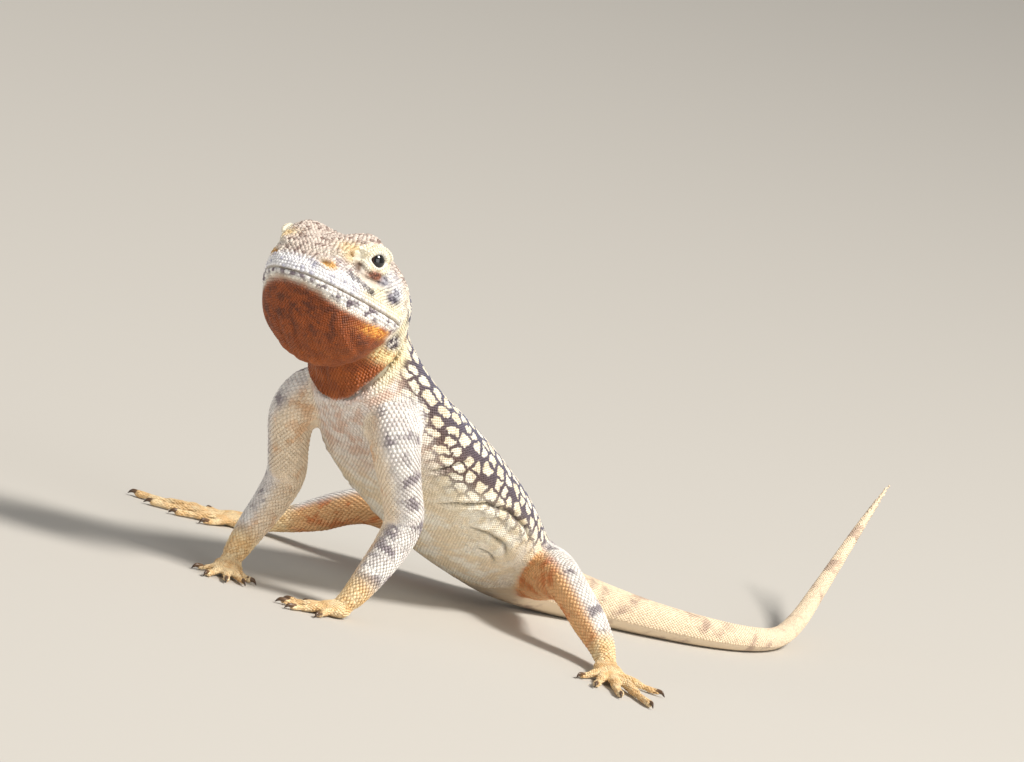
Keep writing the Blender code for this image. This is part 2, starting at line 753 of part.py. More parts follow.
def make_tail(line, start):
    """The three lengths of the tail, cut level where they lie on the floor."""
    names = ("tail_base", "tail_middle", "tail_end")
    ends = [start + TORSO_END, start + TAIL_BASE_END, start + TAIL_MIDDLE_END, line.length]
    return [
        level(trunk_piece(name, line, first, last, spacing, sides))
        for name, first, last, spacing, sides in zip(names, ends, ends[1:], TAIL_SPACING, TAIL_SIDES)
    ]


def main():
    """Builds every node, dresses it and sets the animal on its origin."""
    clear_scene()
    line, start = trunk_line()
    head = make_head()
    eyes = make_eyes()
    body = [make_neck(line, start), make_torso(line, start)]
    tail = make_tail(line, start)
    legs = []
    for side_plan in (LEFT_SIDE, RIGHT_SIDE):
        for limb in LIMBS:
            legs += make_limb(limb, side_plan, line, start)
    finish([head], "head_skin", HEAD_SKIN)
    finish(eyes, "eye", EYE)
    finish(body, "skin", SKIN)
    finish(tail, "tail_skin", TAIL_SKIN)
    finish(legs, "leg_skin", LEG_SKIN)
    place_on_origin([head, *eyes, *body, *tail, *legs])


main()
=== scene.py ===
"""Looks for a life-size central netted dragon: skin, scales, eyes and claws, a floor, lights and a camera.

Places are worked out in millimetres in the animal's own frame. Where a mesh is made they are moved to the
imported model's frame, in metres.
"""

from __future__ import annotations

import logging
import math
from collections.abc import Iterable, Sequence
from dataclasses import dataclass, field
from enum import Enum

import bmesh
import bpy
import numpy as np
from mathutils import Matrix, Vector
from mathutils.bvhtree import BVHTree
from mathutils.kdtree import KDTree

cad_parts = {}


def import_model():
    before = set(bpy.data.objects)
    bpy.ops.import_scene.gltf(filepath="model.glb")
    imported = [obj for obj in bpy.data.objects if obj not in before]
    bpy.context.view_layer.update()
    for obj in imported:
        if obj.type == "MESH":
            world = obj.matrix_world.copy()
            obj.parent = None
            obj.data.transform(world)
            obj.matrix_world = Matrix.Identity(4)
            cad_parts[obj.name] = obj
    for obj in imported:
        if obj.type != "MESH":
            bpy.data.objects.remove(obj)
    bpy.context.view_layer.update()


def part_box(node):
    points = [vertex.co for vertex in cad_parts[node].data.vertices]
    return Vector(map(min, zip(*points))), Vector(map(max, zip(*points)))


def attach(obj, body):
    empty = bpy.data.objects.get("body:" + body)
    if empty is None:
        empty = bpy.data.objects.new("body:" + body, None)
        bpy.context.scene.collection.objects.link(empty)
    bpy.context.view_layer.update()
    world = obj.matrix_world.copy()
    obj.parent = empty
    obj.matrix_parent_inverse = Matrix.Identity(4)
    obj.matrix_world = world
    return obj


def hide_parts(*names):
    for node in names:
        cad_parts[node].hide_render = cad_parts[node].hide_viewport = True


Array = np.ndarray
Triple = tuple[float, float, float]
LOG = logging.getLogger("netted_dragon")
MM = 0.001
COAT_DEPTH = 0.16  # how far the skin lies under the solids, which the scales fill again
SEED = 20


def linear(code: str) -> tuple[float, float, float, float]:
    """Turns an sRGB hex colour to the linear values that a shader takes.

    Args:
        code: The colour as "#RRGGBB".

    Returns:
        Linear red, green and blue, and a full alpha.
    """
    parts = [int(code[index : index + 2], 16) / 255 for index in (1, 3, 5)]
    red, green, blue = (
        part / 12.92 if part <= 0.04045 else ((part + 0.055) / 1.055) ** 2.4 for part in parts
    )
    return red, green, blue, 1.0


def add_node(
    tree: bpy.types.NodeTree,
    kind: str,
    settings: dict[str | int, object] | None = None,
    links: dict[str | int, bpy.types.NodeSocket] | None = None,
) -> bpy.types.Node:
    """Adds a node with its settings and links.

    Args:
        tree: The node tree that gets it.
        kind: Blender's name of the node's type.
        settings: Properties of the node, or values of its inputs by name or number.
        links: Sockets that feed its inputs, by the input's name or number.

    Returns:
        The new node.
    """
    node = tree.nodes.new(kind)
    for key, value in (settings or {}).items():
        if isinstance(key, str) and hasattr(node, key):
            setattr(node, key, value)
        else:
            node.inputs[key].default_value = value
    for key, socket in (links or {}).items():
        tree.links.new(socket, node.inputs[key])
    return node


def step(low: float, high: float, values: Array) -> Array:
    """A smooth step from 0 at low to 1 at high, for many values at once."""
    share = np.clip((values - low) / (high - low), 0.0, 1.0)
    return share * share * (3 - 2 * share)


def unit(vectors: Array) -> Array:
    """Vectors of length one."""
    return vectors / np.maximum(np.linalg.norm(vectors, axis=-1, keepdims=True), 1e-9)


def smooth_rows(rows: Sequence[Sequence[float]], steps: int) -> Array:
    """Rows of numbers on a smooth curve that passes through each given row.

    Args:
        rows: The given rows.
        steps: How many rows come from each span between two given ones.

    Returns:
        The table of all rows.
    """
    table = np.array(rows, dtype=float)
    ends = np.vstack((2 * table[0] - table[1], table, 2 * table[-1] - table[-2]))
    found = []
    for first, second, third, fourth in zip(ends, ends[1:], ends[2:], ends[3:]):
        for index in range(steps):
            t = index / steps
            slope = (third - first) * t
            bend = (2 * first - 5 * second + 4 * third - fourth) * t**2
            twist = (3 * second - first - 3 * third + fourth) * t**3
            found.append(0.5 * (2 * second + slope + bend + twist))
    found.append(table[-1])
    return np.array(found)


class Side(Enum):
    """The two sides of the animal."""

    LEFT = 1
    RIGHT = -1


@dataclass(frozen=True)
class HeadAxes:
    """The head's own directions, from the tip of the upper lip: back along it, out to the left, and up."""

    tip: Triple = (-1.1, -20.6, 52.0)
    pitch: float = 8.4
    yaw: float = -2.4
    roll: float = 6.0

    def directions(self) -> tuple[Array, Array, Array]:
        """Forward, left and up.

        Returns:
            The three directions.
        """
        pitch, yaw, roll = (math.radians(angle) for angle in (self.pitch, self.yaw, self.roll))
        level = math.cos(pitch)
        forward = Vector((-math.sin(yaw) * level, -math.cos(yaw) * level, math.sin(pitch)))
        left = Vector((0, 0, 1)).cross(forward).normalized()
        turn = Matrix.Rotation(roll, 3, forward)
        return np.array(forward), np.array(turn @ left), np.array(turn @ forward.cross(left))

    def place(self, back: float | Array, out: float | Array, up: float | Array) -> Array:
        """A place, or many, from distances back, out and up.

        Args:
            back: Distances behind the tip.
            out: Distances to the left.
            up: Distances upward.

        Returns:
            The places in millimetres.
        """
        forward, left, above = self.directions()
        behind = np.array(self.tip) - np.multiply.outer(back, forward)
        return behind + np.multiply.outer(out, left) + np.multiply.outer(up, above)

    def read(self, points: Array) -> Array:
        """Distances back, out and up of many points.

        Args:
            points: Places in millimetres.

        Returns:
            A row of the three distances for each.
        """
        forward, left, above = self.directions()
        offset = points - np.array(self.tip)
        return np.stack([-(offset @ forward), offset @ left, offset @ above], axis=-1)


AXES = HeadAxes()
FORWARD, LEFT, UP = AXES.directions()


def oval(centre: Array, across: Array, up: Array, sizes: Sequence[float], sides: int) -> Array:
    """One cross-section, squarer where its power is over 2.

    Args:
        centre: Its middle.
        across: The direction of its half width.
        up: The direction of its rise.
        sizes: Half width, rise, drop and power.
        sides: The number of points.

    Returns:
        The points, which start at the left and pass the top.
    """
    half_width, rise, drop, power = sizes
    angle = 2 * np.pi * np.arange(sides) / sides
    cosine, sine = np.cos(angle), np.sin(angle)
    out = np.sign(cosine) * np.abs(cosine) ** (2 / power) * half_width
    height = np.sign(sine) * np.abs(sine) ** (2 / power) * np.where(sine >= 0, rise, drop)
    return centre + np.outer(out, across) + np.outer(height, up)


@dataclass
class Loft:
    """A closed form of the body: rings of points along a line, with the line's own directions."""

    rings: Array
    places: Array
    middles: Array
    along: Array
    across: Array
    up: Array

    def solid(self) -> tuple[Array, list[tuple[int, ...]]]:
        """The form's points and faces, with a face at each end.

        Returns:
            The points and the faces.
        """
        count, sides = self.rings.shape[:2]
        near, side = np.meshgrid(np.arange(count - 1), np.arange(sides), indexing="ij")
        after = (side + 1) % sides
        first, second = near * sides, (near + 1) * sides
        corners = [first + side, first + after, second + after, second + side]
        faces = list(map(tuple, np.stack(corners, axis=-1).reshape(-1, 4)[:, ::-1].tolist()))
        faces.append(tuple(range(sides)))
        faces.append(tuple(reversed(range((count - 1) * sides, count * sides))))
        return self.rings.reshape(-1, 3), faces

    def read(self, points: Array, nearest: Array) -> tuple[Array, Array]:
        """The place along the line and the angle from the back of points beside given rings.

        Args:
            points: Places in millimetres.
            nearest: The number of the ring beside each.

        Returns:
            Places along the line, and degrees from the back.
        """
        offset = points - self.middles[nearest]
        place = self.places[nearest] + np.sum(offset * self.along[nearest], axis=1)
        out = np.sum(offset * self.across[nearest], axis=1)
        above = np.sum(offset * self.up[nearest], axis=1)
        return place, np.degrees(np.arctan2(out, above))

    def girths(self) -> Array:
        """The length round each ring."""
        return np.linalg.norm(np.roll(self.rings, -1, axis=1) - self.rings, axis=2).sum(axis=1)


def loft_along(
    sections: Sequence[Sequence[float]],
    across: Sequence[float],
    sides: int,
    steps: int,
    shrink: float = COAT_DEPTH,
    lead: int = 0,
) -> Loft:
    """A form through sections along a line, with a direction across that doesn't twist.

    Args:
        sections: Rows of x, y, z, half width, rise, drop and power.
        across: The direction of the half width at the start.
        sides: The number of points round it.
        steps: How many rings come from each span.
        shrink: How far it lies inside the given sizes.
        lead: How many spans lie before the place that counts as zero.

    Returns:
        The form.
    """
    table = smooth_rows(sections, steps)
    middles = table[:, :3]
    places = np.concatenate(([0.0], np.cumsum(np.linalg.norm(np.diff(middles, axis=0), axis=1))))
    along = unit(np.gradient(middles, places, axis=0))
    way = np.array(across, dtype=float)
    ways, rings = [], []
    for middle, tangent, row in zip(middles, along, table):
        way = unit(way - tangent * way.dot(tangent))
        sizes = [max(size - shrink, 0.25 * size) for size in row[3:6]]
        ways.append(way)
        rings.append(oval(middle, way, np.cross(way, tangent), (*sizes, row[6]), sides))
    across_all = np.array(ways)
    places = places - places[lead * steps]
    return Loft(np.array(rings), places, middles, along, across_all, np.cross(across_all, along))


def mirrored(places: Array) -> Array:
    """Places back, out and up on the head, with those of its right side moved to the left."""
    return np.stack([places[:, 0], np.abs(places[:, 1]), places[:, 2]], axis=1)


def rim_share(places: Array, centre: Triple, reach: tuple[float, float]) -> Array:
    """How far out from a hole in the side of the head places lie: 1 where it reaches back and up.

    Args:
        places: Places back, out and up on the head.
        centre: The middle of the hole.
        reach: How far its rim is back and up from there.

    Returns:
        How far out each place lies, 1 on the rim.
    """
    back = (places[:, 0] - centre[0]) / reach[0]
    up = (places[:, 2] - centre[2]) / reach[1]
    return np.sqrt(back**2 + up**2)


def bell(places: Array, centre: Sequence[float], reach: Sequence[float]) -> Array:
    """A soft hill on both sides of the head.

    Args:
        places: Places back, out and up on the head.
        centre: Where the hill is highest.
        reach: How far it reaches in each direction.

    Returns:
        Its height at each place, 1 at most.
    """
    off = ((places[:, 0] - centre[0]) / reach[0]) ** 2
    off = off + ((np.abs(places[:, 1]) - centre[1]) / reach[1]) ** 2
    return np.exp(-off - ((places[:, 2] - centre[2]) / reach[2]) ** 2)


@dataclass
class Skull:
    """Skull and jaws from the snout to the neck, with the swellings of brows, cheeks and snout."""

    sections: tuple[tuple[float, ...], ...] = (
        (-0.55, 0.1, 0.0, 1.7, 0.9, 1.0, 2.0),
        (0.0, 0.1, 0.0, 3.1, 1.7, 1.8, 2.0),
        (1.2, 0.1, 0.0, 4.9, 3.1, 3.2, 2.0),
        (3.0, 0.1, 0.0, 6.5, 4.8, 5.4, 2.1),
        (5.5, 0.0, 0.0, 8.0, 6.6, 8.0, 2.2),
        (8.5, -0.3, 0.0, 9.3, 7.9, 10.2, 2.3),
        (11.5, -0.8, 0.0, 10.1, 8.9, 11.7, 2.3),
        (14.5, -1.5, 0.10, 10.4, 9.4, 12.2, 2.3),
        (17.5, -2.1, 0.25, 10.2, 9.2, 11.4, 2.2),
        (19.6, -2.4, 0.36, 9.6, 8.4, 10.2, 2.2),
        (21.0, -2.2, 0.4363, 8.9, 7.6, 9.6, 2.1),
    )
    bumps: tuple[tuple[float, ...], ...] = (
        (10.4, 5.8, 7.8, 4.2, 2.5, 3.0, 2.0),
        (9.5, 0.0, 8.2, 5.0, 2.6, 3.0, -0.8),
        (8.6, 8.0, 5.6, 3.2, 1.8, 1.8, 1.1),
        (6.2, 6.3, 5.2, 1.9, 1.4, 1.3, 0.5),
        (4.2, 5.1, 4.3, 1.6, 1.3, 1.2, 0.5),
        (1.9, 4.3, 2.2, 1.4, 1.3, 1.2, 0.4),
        (5.8, 7.4, 2.7, 2.2, 1.8, 1.3, -0.5),
        (15.4, 8.4, 4.8, 3.2, 2.6, 2.6, -1.2),
        (17.0, 9.6, -3.4, 3.2, 3.2, 3.0, 0.9),
        (8.5, 6.5, -6.5, 5.5, 4.0, 4.0, 0.9),
    )
    sides: int = 96
    steps: int = 6
    joint: Triple = (21.0, -2.2, 25.0)  # back, up and tilt of the face where the neck starts
    joint_sizes: tuple[float, ...] = (8.9, 7.6, 9.6, 2.1)
    mouth_corner: float = 18.0
    ear: Triple = (18.9, 10.0, -1.6)
    nostril: Triple = (1.8, 4.9, 2.2)

    def loft(self) -> Loft:
        """The skull's form, with its swellings raised.

        Returns:
            The form.
        """
        rings, middles, ups = [], [], []
        table = smooth_rows(self.sections, self.steps)
        for back, centre_up, tilt, half_width, rise, drop, power in table:
            up = math.cos(tilt) * UP - math.sin(tilt) * FORWARD
            middle = AXES.place(back, 0.0, centre_up)
            sizes = (half_width - COAT_DEPTH, rise - COAT_DEPTH, drop - COAT_DEPTH, power)
            ring = oval(middle, LEFT, up, sizes, self.sides)
            spread = unit(ring - middle)
            places = AXES.read(ring)
            for bump in self.bumps:
                ring = ring + spread * (bump[6] * bell(places, bump[:3], bump[3:6]))[:, None]
            rings.append(ring)
            middles.append(middle)
            ups.append(up)
        across = np.tile(LEFT, (len(table), 1))
        up_all = np.array(ups)
        return Loft(np.array(rings), table[:, 0], np.array(middles), np.cross(up_all, across), across, up_all)

    def joint_frame(self) -> tuple[Array, Array, Array]:
        """The middle of the face between head and neck, its forward direction and its up direction.

        Returns:
            The three, in this order.
        """
        back, up, tilt = self.joint
        above = math.cos(math.radians(tilt)) * UP - math.sin(math.radians(tilt)) * FORWARD
        return AXES.place(back, 0.0, up), np.cross(LEFT, above), above

    def mouth_height(self, back: Array) -> Array:
        """The line of the mouth, which falls almost evenly from the snout to its corner."""
        share = np.clip(back / self.mouth_corner, 0.0, 1.1)
        return -0.3 - 3.4 * share**0.9


@dataclass
class Trunk:
    """Neck, body and tail in one line behind the head."""

    sections: tuple[tuple[float, ...], ...] = (
        (-1.5, 2.6, 42.6, 8.0, 5.8, 9.8, 2.0),
        (-0.8, 5.6, 38.4, 8.8, 5.6, 10.2, 2.1),
        (0.0, 10.0, 33.2, 11.0, 6.2, 10.0, 2.1),
        (0.0, 18.0, 27.4, 13.2, 7.6, 9.8, 2.1),
        (0.0, 28.0, 21.9, 14.0, 8.0, 9.6, 2.1),
        (0.0, 38.7, 16.2, 13.4, 7.8, 9.2, 2.1),
        (0.0, 48.3, 11.4, 11.2, 6.9, 8.0, 2.1),
        (0.0, 55.5, 7.8, 8.6, 5.9, 6.6, 2.1),
        (1.2, 62.5, 5.2, 5.8, 4.6, 5.0, 2.0),
        (5.4, 71.0, 3.8, 4.3, 3.8, 4.0, 2.0),
        (12.0, 80.0, 3.0, 3.3, 3.0, 3.1, 2.0),
        (17.0, 90.4, 2.5, 2.7, 2.5, 2.6, 2.0),
        (18.6, 101.6, 2.1, 2.3, 2.1, 2.2, 2.0),
        (16.4, 113.0, 2.0, 2.0, 1.8, 1.9, 2.0),
        (12.0, 124.0, 3.6, 1.8, 1.6, 1.6, 2.0),
        (7.0, 135.0, 7.2, 1.5, 1.4, 1.4, 2.0),
        (2.4, 145.8, 12.2, 1.2, 1.15, 1.15, 2.0),
        (-1.6, 156.0, 17.8, 0.85, 0.8, 0.8, 2.0),
        (-4.8, 165.2, 23.4, 0.4, 0.4, 0.4, 2.0),
    )
    skull: Skull = field(default_factory=Skull)
    lead: float = 5.0  # how far the line starts inside the head
    sides: int = 96
    steps: int = 12

    def loft(self) -> Loft:
        """The form of neck, body and tail. Its places count from the face between head and neck.

        Returns:
            The form.
        """
        joint, forward, _ = self.skull.joint_frame()
        sizes = self.skull.joint_sizes
        inner = (sizes[0] - 1.2, sizes[1] - 1.2, sizes[2] - 1.2, sizes[3])
        rows = [(*(joint + forward * self.lead), *inner), (*joint, *sizes), *self.sections]
        return loft_along(rows, tuple(LEFT), self.sides, self.steps, lead=1)


@dataclass(frozen=True)
class Toe:
    """One toe: its angle from the foot's heading, its length, where it starts and its radius."""

    angle: float
    length: float
    start: float
    radius: float


@dataclass(frozen=True)
class FootPlan:
    """The foot at the end of a leg."""

    ahead: float
    height: float
    turn: float
    palm: Triple
    toes: tuple[Toe, ...]


HAND = FootPlan(
    0.9,
    1.25,
    -36.0,
    (2.7, 2.5, 1.35),
    (
        Toe(-52.0, 3.4, 1.5, 0.66),
        Toe(-24.0, 4.7, 2.2, 0.70),
        Toe(-2.0, 5.7, 2.4, 0.72),
        Toe(20.0, 5.8, 2.3, 0.70),
        Toe(50.0, 4.0, 1.6, 0.64),
    ),
)
HIND = FootPlan(
    1.6,
    1.3,
    50.0,
    (4.2, 2.4, 1.45),
    (
        Toe(-44.0, 4.5, 3.6, 0.68),
        Toe(-22.0, 6.6, 4.8, 0.74),
        Toe(-5.0, 9.2, 5.4, 0.78),
        Toe(10.0, 12.2, 5.2, 0.80),
        Toe(56.0, 7.2, 1.4, 0.70),
    ),
)
FORELEG: tuple[tuple[float, ...], ...] = (
    (4.4, 9.0, 32.4, 4.4),
    (8.0, 4.6, 30.8, 4.5),
    (10.4, 3.6, 27.0, 3.9),
    (11.4, 6.0, 21.6, 3.3),
    (11.9, 8.4, 16.6, 3.15),
    (12.0, 7.2, 12.4, 2.9),
    (11.9, 4.2, 7.8, 2.5),
    (11.6, 1.5, 3.9, 2.0),
    (11.0, -0.2, 1.9, 1.5),
)
HINDLEG: tuple[tuple[float, ...], ...] = (
    (3.5, 56.5, 8.0, 4.9),
    (8.4, 53.0, 8.8, 4.9),
    (14.4, 48.4, 9.9, 4.1),
    (19.8, 44.6, 10.0, 3.2),
    (23.8, 43.2, 8.4, 2.9),
    (27.6, 42.6, 6.1, 2.8),
    (31.4, 41.4, 4.0, 2.3),
    (34.4, 39.4, 2.5, 1.8),
    (36.6, 37.4, 1.7, 1.5),
)


@dataclass
class Leg:
    """One leg with its foot, five toes and claws."""

    side: Side
    sections: tuple[tuple[float, ...], ...]
    plan: FootPlan
    shift: float = -1.5  # how far back the end of a right leg moves
    toe_rings: int = 22
    toe_sides: int = 16
    arch: float = 0.75
    sink: float = 0.12
    claw_length: float = 1.5
    claw_radii: Triple = (0.42, 0.32, 0.05)

    def loft(self) -> Loft:
        """The form of the leg from the body to the ankle.

        Returns:
            The form.
        """
        shift = 0.0 if self.side is Side.LEFT else self.shift
        rows = []
        for index, (x, y, z, radius) in enumerate(self.sections):
            moved = y + shift * index / len(self.sections)
            rows.append((x * self.side.value, moved, z, radius, radius, radius, 2.0))
        return loft_along(rows, (0.0, 0.0, 1.0), 40, 8)

    def heading(self) -> Array:
        """The direction that the foot points in."""
        turn = math.radians(self.plan.turn)
        return np.array([self.side.value * math.sin(turn), -math.cos(turn), 0.0])

    def sole(self) -> Array:
        """The middle of the palm or sole.

        Returns:
            The place.
        """
        centre = self.loft().middles[-1] + self.heading() * self.plan.ahead
        centre[2] = self.plan.height
        return centre

    def palm(self) -> Loft:
        """The form of the palm or sole.

        Returns:
            The form.
        """
        heading, centre = self.heading(), self.sole()
        long, wide, high = (size - COAT_DEPTH for size in self.plan.palm)
        across = np.array([-heading[1], heading[0], 0.0])
        rows = []
        for angle in np.linspace(-86, 86, 17):
            share = math.cos(math.radians(angle))
            middle = centre + heading * long * math.sin(math.radians(angle))
            rows.append((*middle, wide * share, high * share, high * share, 2.0))
        return loft_along(rows, tuple(across), 32, 2, shrink=0.0)

    def toe_line(self, toe: Toe) -> tuple[Array, Array, Array]:
        """The middles, radii and heading of a toe.

        Args:
            toe: The toe's plan.

        Returns:
            The middles along it, the radius at each, and the direction it points in.
        """
        angle = math.radians(toe.angle) * self.side.value
        heading = self.heading()
        way = np.array(
            [
                heading[0] * math.cos(angle) - heading[1] * math.sin(angle),
                heading[0] * math.sin(angle) + heading[1] * math.cos(angle),
                0.0,
            ]
        )
        start = self.sole() + way * toe.start * 0.35
        share = np.linspace(0, 1, self.toe_rings)
        points = start + np.outer(share * (toe.start * 0.65 + toe.length), way)
        arch = self.arch * np.sin(np.pi * np.minimum(1.0, share * 1.15 + 0.1)) * (1 - share)
        points[:, 2] = toe.radius - self.sink + arch
        joints = 1 + 0.1 * np.cos(4 * np.pi * share) + 0.05 * np.cos(10 * np.pi * share)
        return points, toe.radius * (1.12 - 0.34 * share) * joints, way

    def toes(self) -> list[Loft]:
        """The forms of the toes, with rounded tips.

        Returns:
            One form for each toe.
        """
        made = []
        for toe in self.plan.toes:
            points, radii, way = self.toe_line(toe)
            across = (-way[1], way[0], 0.0)
            rows = [(*point, radius, radius, radius, 2.0) for point, radius in zip(points, radii)]
            for reach, share in ((0.25, 0.9), (0.42, 0.66), (0.5, 0.3)):
                end = points[-1] + way * reach * radii[-1] * 1.3
                rows.append((*end, *(radii[-1] * share,) * 3, 2.0))
            made.append(loft_along(rows, across, self.toe_sides, 1, shrink=0.06))
        return made

    def claws(self) -> list[Loft]:
        """The forms of the claws, curved down to their points.

        Returns:
            One form for each claw.
        """
        made = []
        first, second, last = self.claw_radii
        for toe in self.plan.toes:
            points, _, way = self.toe_line(toe)
            tip = points[-1]
            length = self.claw_length
            drop = min(0.35, tip[2] + 0.05 - last)
            rows = (
                (*(tip - way * 0.5 + (0, 0, 0.1)), first, first, first, 2.0),
                (*(tip + way * length * 0.5 + (0, 0, 0.2)), second * 0.8, second, second, 2.0),
                (*(tip + way * length - (0, 0, drop)), last, last, last, 2.0),
            )
            made.append(loft_along(rows, (-way[1], way[0], 0.0), 12, 7, shrink=0.0))
        return made

    def build_claws(self, name: str, placement: Placement) -> bpy.types.Object:
        """Makes the five claws of the foot in one piece.

        Args:
            name: The piece's name.
            placement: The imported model's frame.

        Returns:
            The claws, in the scene, with the share of the way to the tip at each point.
        """
        lofts = self.claws()
        points, faces = merge(lofts)
        piece = piece_from(name, placement.metres(points), faces)
        shapes = [loft.rings.shape[:2] for loft in lofts]
        share = np.concatenate([np.repeat(np.linspace(0, 1, rings), sides) for rings, sides in shapes])
        layer = piece.data.attributes.new("claw_share", "FLOAT", "POINT")
        layer.data.foreach_set("value", share.astype(np.float32))
        return piece


@dataclass
class Eye:
    """One eyeball with its iris and pupil, and the place and shape of the lids round it."""

    side: Side
    radius: float = 1.95
    place: Triple = (10.1, 7.6, 4.6)
    aim: Triple = (-0.34, 0.93, 0.10)
    lid_thickness: float = 0.68
    lid_stretch: float = 1.22
    opening: tuple[float, float] = (1.5, 1.12)  # half length and half height of the gap between the lids
    slim: float = 0.3  # how much lower the gap gets toward its corners
    ball_rings: int = 48
    ball_sides: int = 64
    cornea: Triple = (0.985, 0.03, 32.0)  # share of the radius, its rise at the front, and degrees it spreads

    def centre(self) -> Array:
        """The middle of the eyeball."""
        back, out, up = self.place
        return AXES.place(back, out * self.side.value, up)

    def frame(self) -> tuple[Array, Array, Array]:
        """The eye's outward, forward and upward directions.

        Returns:
            The three directions.
        """
        back, out, up = self.aim
        aim = unit(-back * FORWARD + out * self.side.value * LEFT + up * UP)
        along = unit(FORWARD - aim * FORWARD.dot(aim))
        over = np.cross(aim, along)
        return aim, along, over if over.dot(UP) > 0 else -over

    def opening_share(self, along: Array, over: Array) -> Array:
        """How far out points lie in the gap between the lids: 1 at its rim, less inside.

        Args:
            along: Distances forward of the eye's middle.
            over: Distances above it.

        Returns:
            The share of the way to the rim for each.
        """
        half_length, half_height = self.opening
        reach = np.clip(along / half_length, -1.6, 1.6)
        slim = np.clip(1 - self.slim * reach * reach, 0.3, 1.0)
        return np.sqrt((along / half_length) ** 2 + (over / (half_height * slim)) ** 2)

    def lid_ball(self) -> Loft:
        """The swelling that the lids are shaped from, longer along the head than high.

        Returns:
            The form.
        """
        aim, along, _ = self.frame()
        reach = self.radius + self.lid_thickness
        rows = []
        for angle in np.linspace(-84, 84, 15):
            share = math.cos(math.radians(angle))
            middle = self.centre() + along * reach * self.lid_stretch * math.sin(math.radians(angle))
            rows.append((*middle, reach * share, reach * share, reach * share, 2.0))
        return loft_along(rows, tuple(aim), 32, 2, shrink=0.0)

    def shape_lids(self, points: Array) -> Array:
        """Opens the skin over the eyeball and rolls the rim of the lids round the gap.

        Args:
            points: Places of the skin in millimetres.

        Returns:
            The places, with those near the eye moved straight in or out from its middle.
        """
        aim, along, over = self.frame()
        offset = points - self.centre()
        reach = np.linalg.norm(offset, axis=1)
        way = unit(offset)
        near = (way @ aim > 0.15) & (reach < 4.2)
        share = self.opening_share(way @ along * (self.radius + 0.2), way @ over * (self.radius + 0.2))
        roll = np.sqrt(np.clip(1 - (1 - np.clip((share - 1) / 0.34, 0, 1)) ** 2, 0, 1))
        below = step(0.3, -0.5, way @ over)
        rim = self.radius + 0.05 + (0.42 - 0.18 * below) * roll
        folds = sum(
            rise * np.exp(-(((share - middle) / width) ** 2))
            for middle, width, rise in ((1.50, 0.22, 0.12), (1.90, 0.07, -0.16), (2.45, 0.08, -0.14))
        )
        folds = folds + 0.20 * np.exp(-(((share - 1.62) / 0.30) ** 2)) * step(-0.2, 0.6, way @ over * 2)
        inside = np.full(len(points), self.radius - 0.3)
        outside = rim + 2.2 * np.clip(share - 1.32, 0, 1)
        lid = np.minimum(np.maximum(reach, self.radius + 0.3), outside) + folds
        wanted = np.where(share < 1.0, inside, lid)
        moved = self.centre() + way * wanted[:, None]
        blend = (near * step(3.0, 2.3, share))[:, None]
        return points * (1 - blend) + moved * blend

    def ball_faces(self, rows: int) -> list[tuple[int, ...]]:
        """The faces of a ball of rings of points, with one more point at its front and one at its rear.

        Args:
            rows: The number of rings.

        Returns:
            The faces, as point numbers.
        """
        sides = self.ball_sides
        pairs = [(index, (index + 1) % sides) for index in range(sides)]
        faces: list[tuple[int, ...]] = []
        for row in range(rows - 1):
            here, behind = row * sides, (row + 1) * sides
            faces += [(here + index, behind + index, behind + after, here + after) for index, after in pairs]
        front, last = rows * sides, (rows - 1) * sides
        for index, after in pairs:
            faces.append((front, index, after))
            faces.append((front + 1, last + after, last + index))
        return faces

    def build(self, placement: Placement) -> bpy.types.Object:
        """Makes the eyeball, whose front bulges a little, as a cornea does.

        Args:
            placement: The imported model's frame.

        Returns:
            The eyeball, in the scene, with the angle from its front at each point.
        """
        aim, along, over = self.frame()
        angle = np.linspace(0.0, np.pi, self.ball_rings + 1)[1:-1]
        low, rise, spread = self.cornea
        bulge = self.radius * (low + rise * np.exp(-((np.degrees(angle) / spread) ** 2)))
        turn = 2 * np.pi * np.arange(self.ball_sides) / self.ball_sides
        ring = np.outer(np.cos(turn), along) + np.outer(np.sin(turn), over)
        grid = (bulge * np.cos(angle))[:, None, None] * aim
        grid = grid + (bulge * np.sin(angle))[:, None, None] * ring[None]
        front, rear = aim * self.radius * (low + rise), -aim * self.radius * low
        points = np.vstack((grid.reshape(-1, 3), front, rear)) + self.centre()
        faces = self.ball_faces(len(angle))
        if np.dot(np.cross(along, over), aim) < 0:
            faces = [tuple(reversed(face)) for face in faces]
        piece = piece_from(f"{self.side.name.lower()}_eyeball", placement.metres(points), faces)
        degrees = np.concatenate((np.repeat(np.degrees(angle), self.ball_sides), [0.0, 180.0]))
        layer = piece.data.attributes.new("from_front", "FLOAT", "POINT")
        layer.data.foreach_set("value", degrees.astype(np.float32))
        return piece


def relax(points: Array, edges: Array, rounds: int, weight: Array | float, swell: float = 0.0) -> Array:
    """Moves each point toward the middle of its neighbours.

    Args:
        points: The points.
        edges: Pairs of neighbours.
        rounds: How often it is done.
        weight: How far each point moves each time, from 0 to 1.
        swell: How far it moves back after each time, which keeps thin forms from shrinking.

    Returns:
        The moved points.
    """
    count = len(points)
    degree = np.maximum(np.bincount(edges.ravel(), minlength=count), 1)[:, None]
    strength = np.broadcast_to(np.asarray(weight, dtype=float), (count,))[:, None]
    for _ in range(rounds):
        for share in (1.0, -swell) if swell else (1.0,):
            total = np.stack(
                [
                    np.bincount(edges[:, 0], points[edges[:, 1], axis], count)
                    + np.bincount(edges[:, 1], points[edges[:, 0], axis], count)
                    for axis in range(3)
                ],
                axis=1,
            )
            points = points + (total / degree - points) * strength * share
    return points


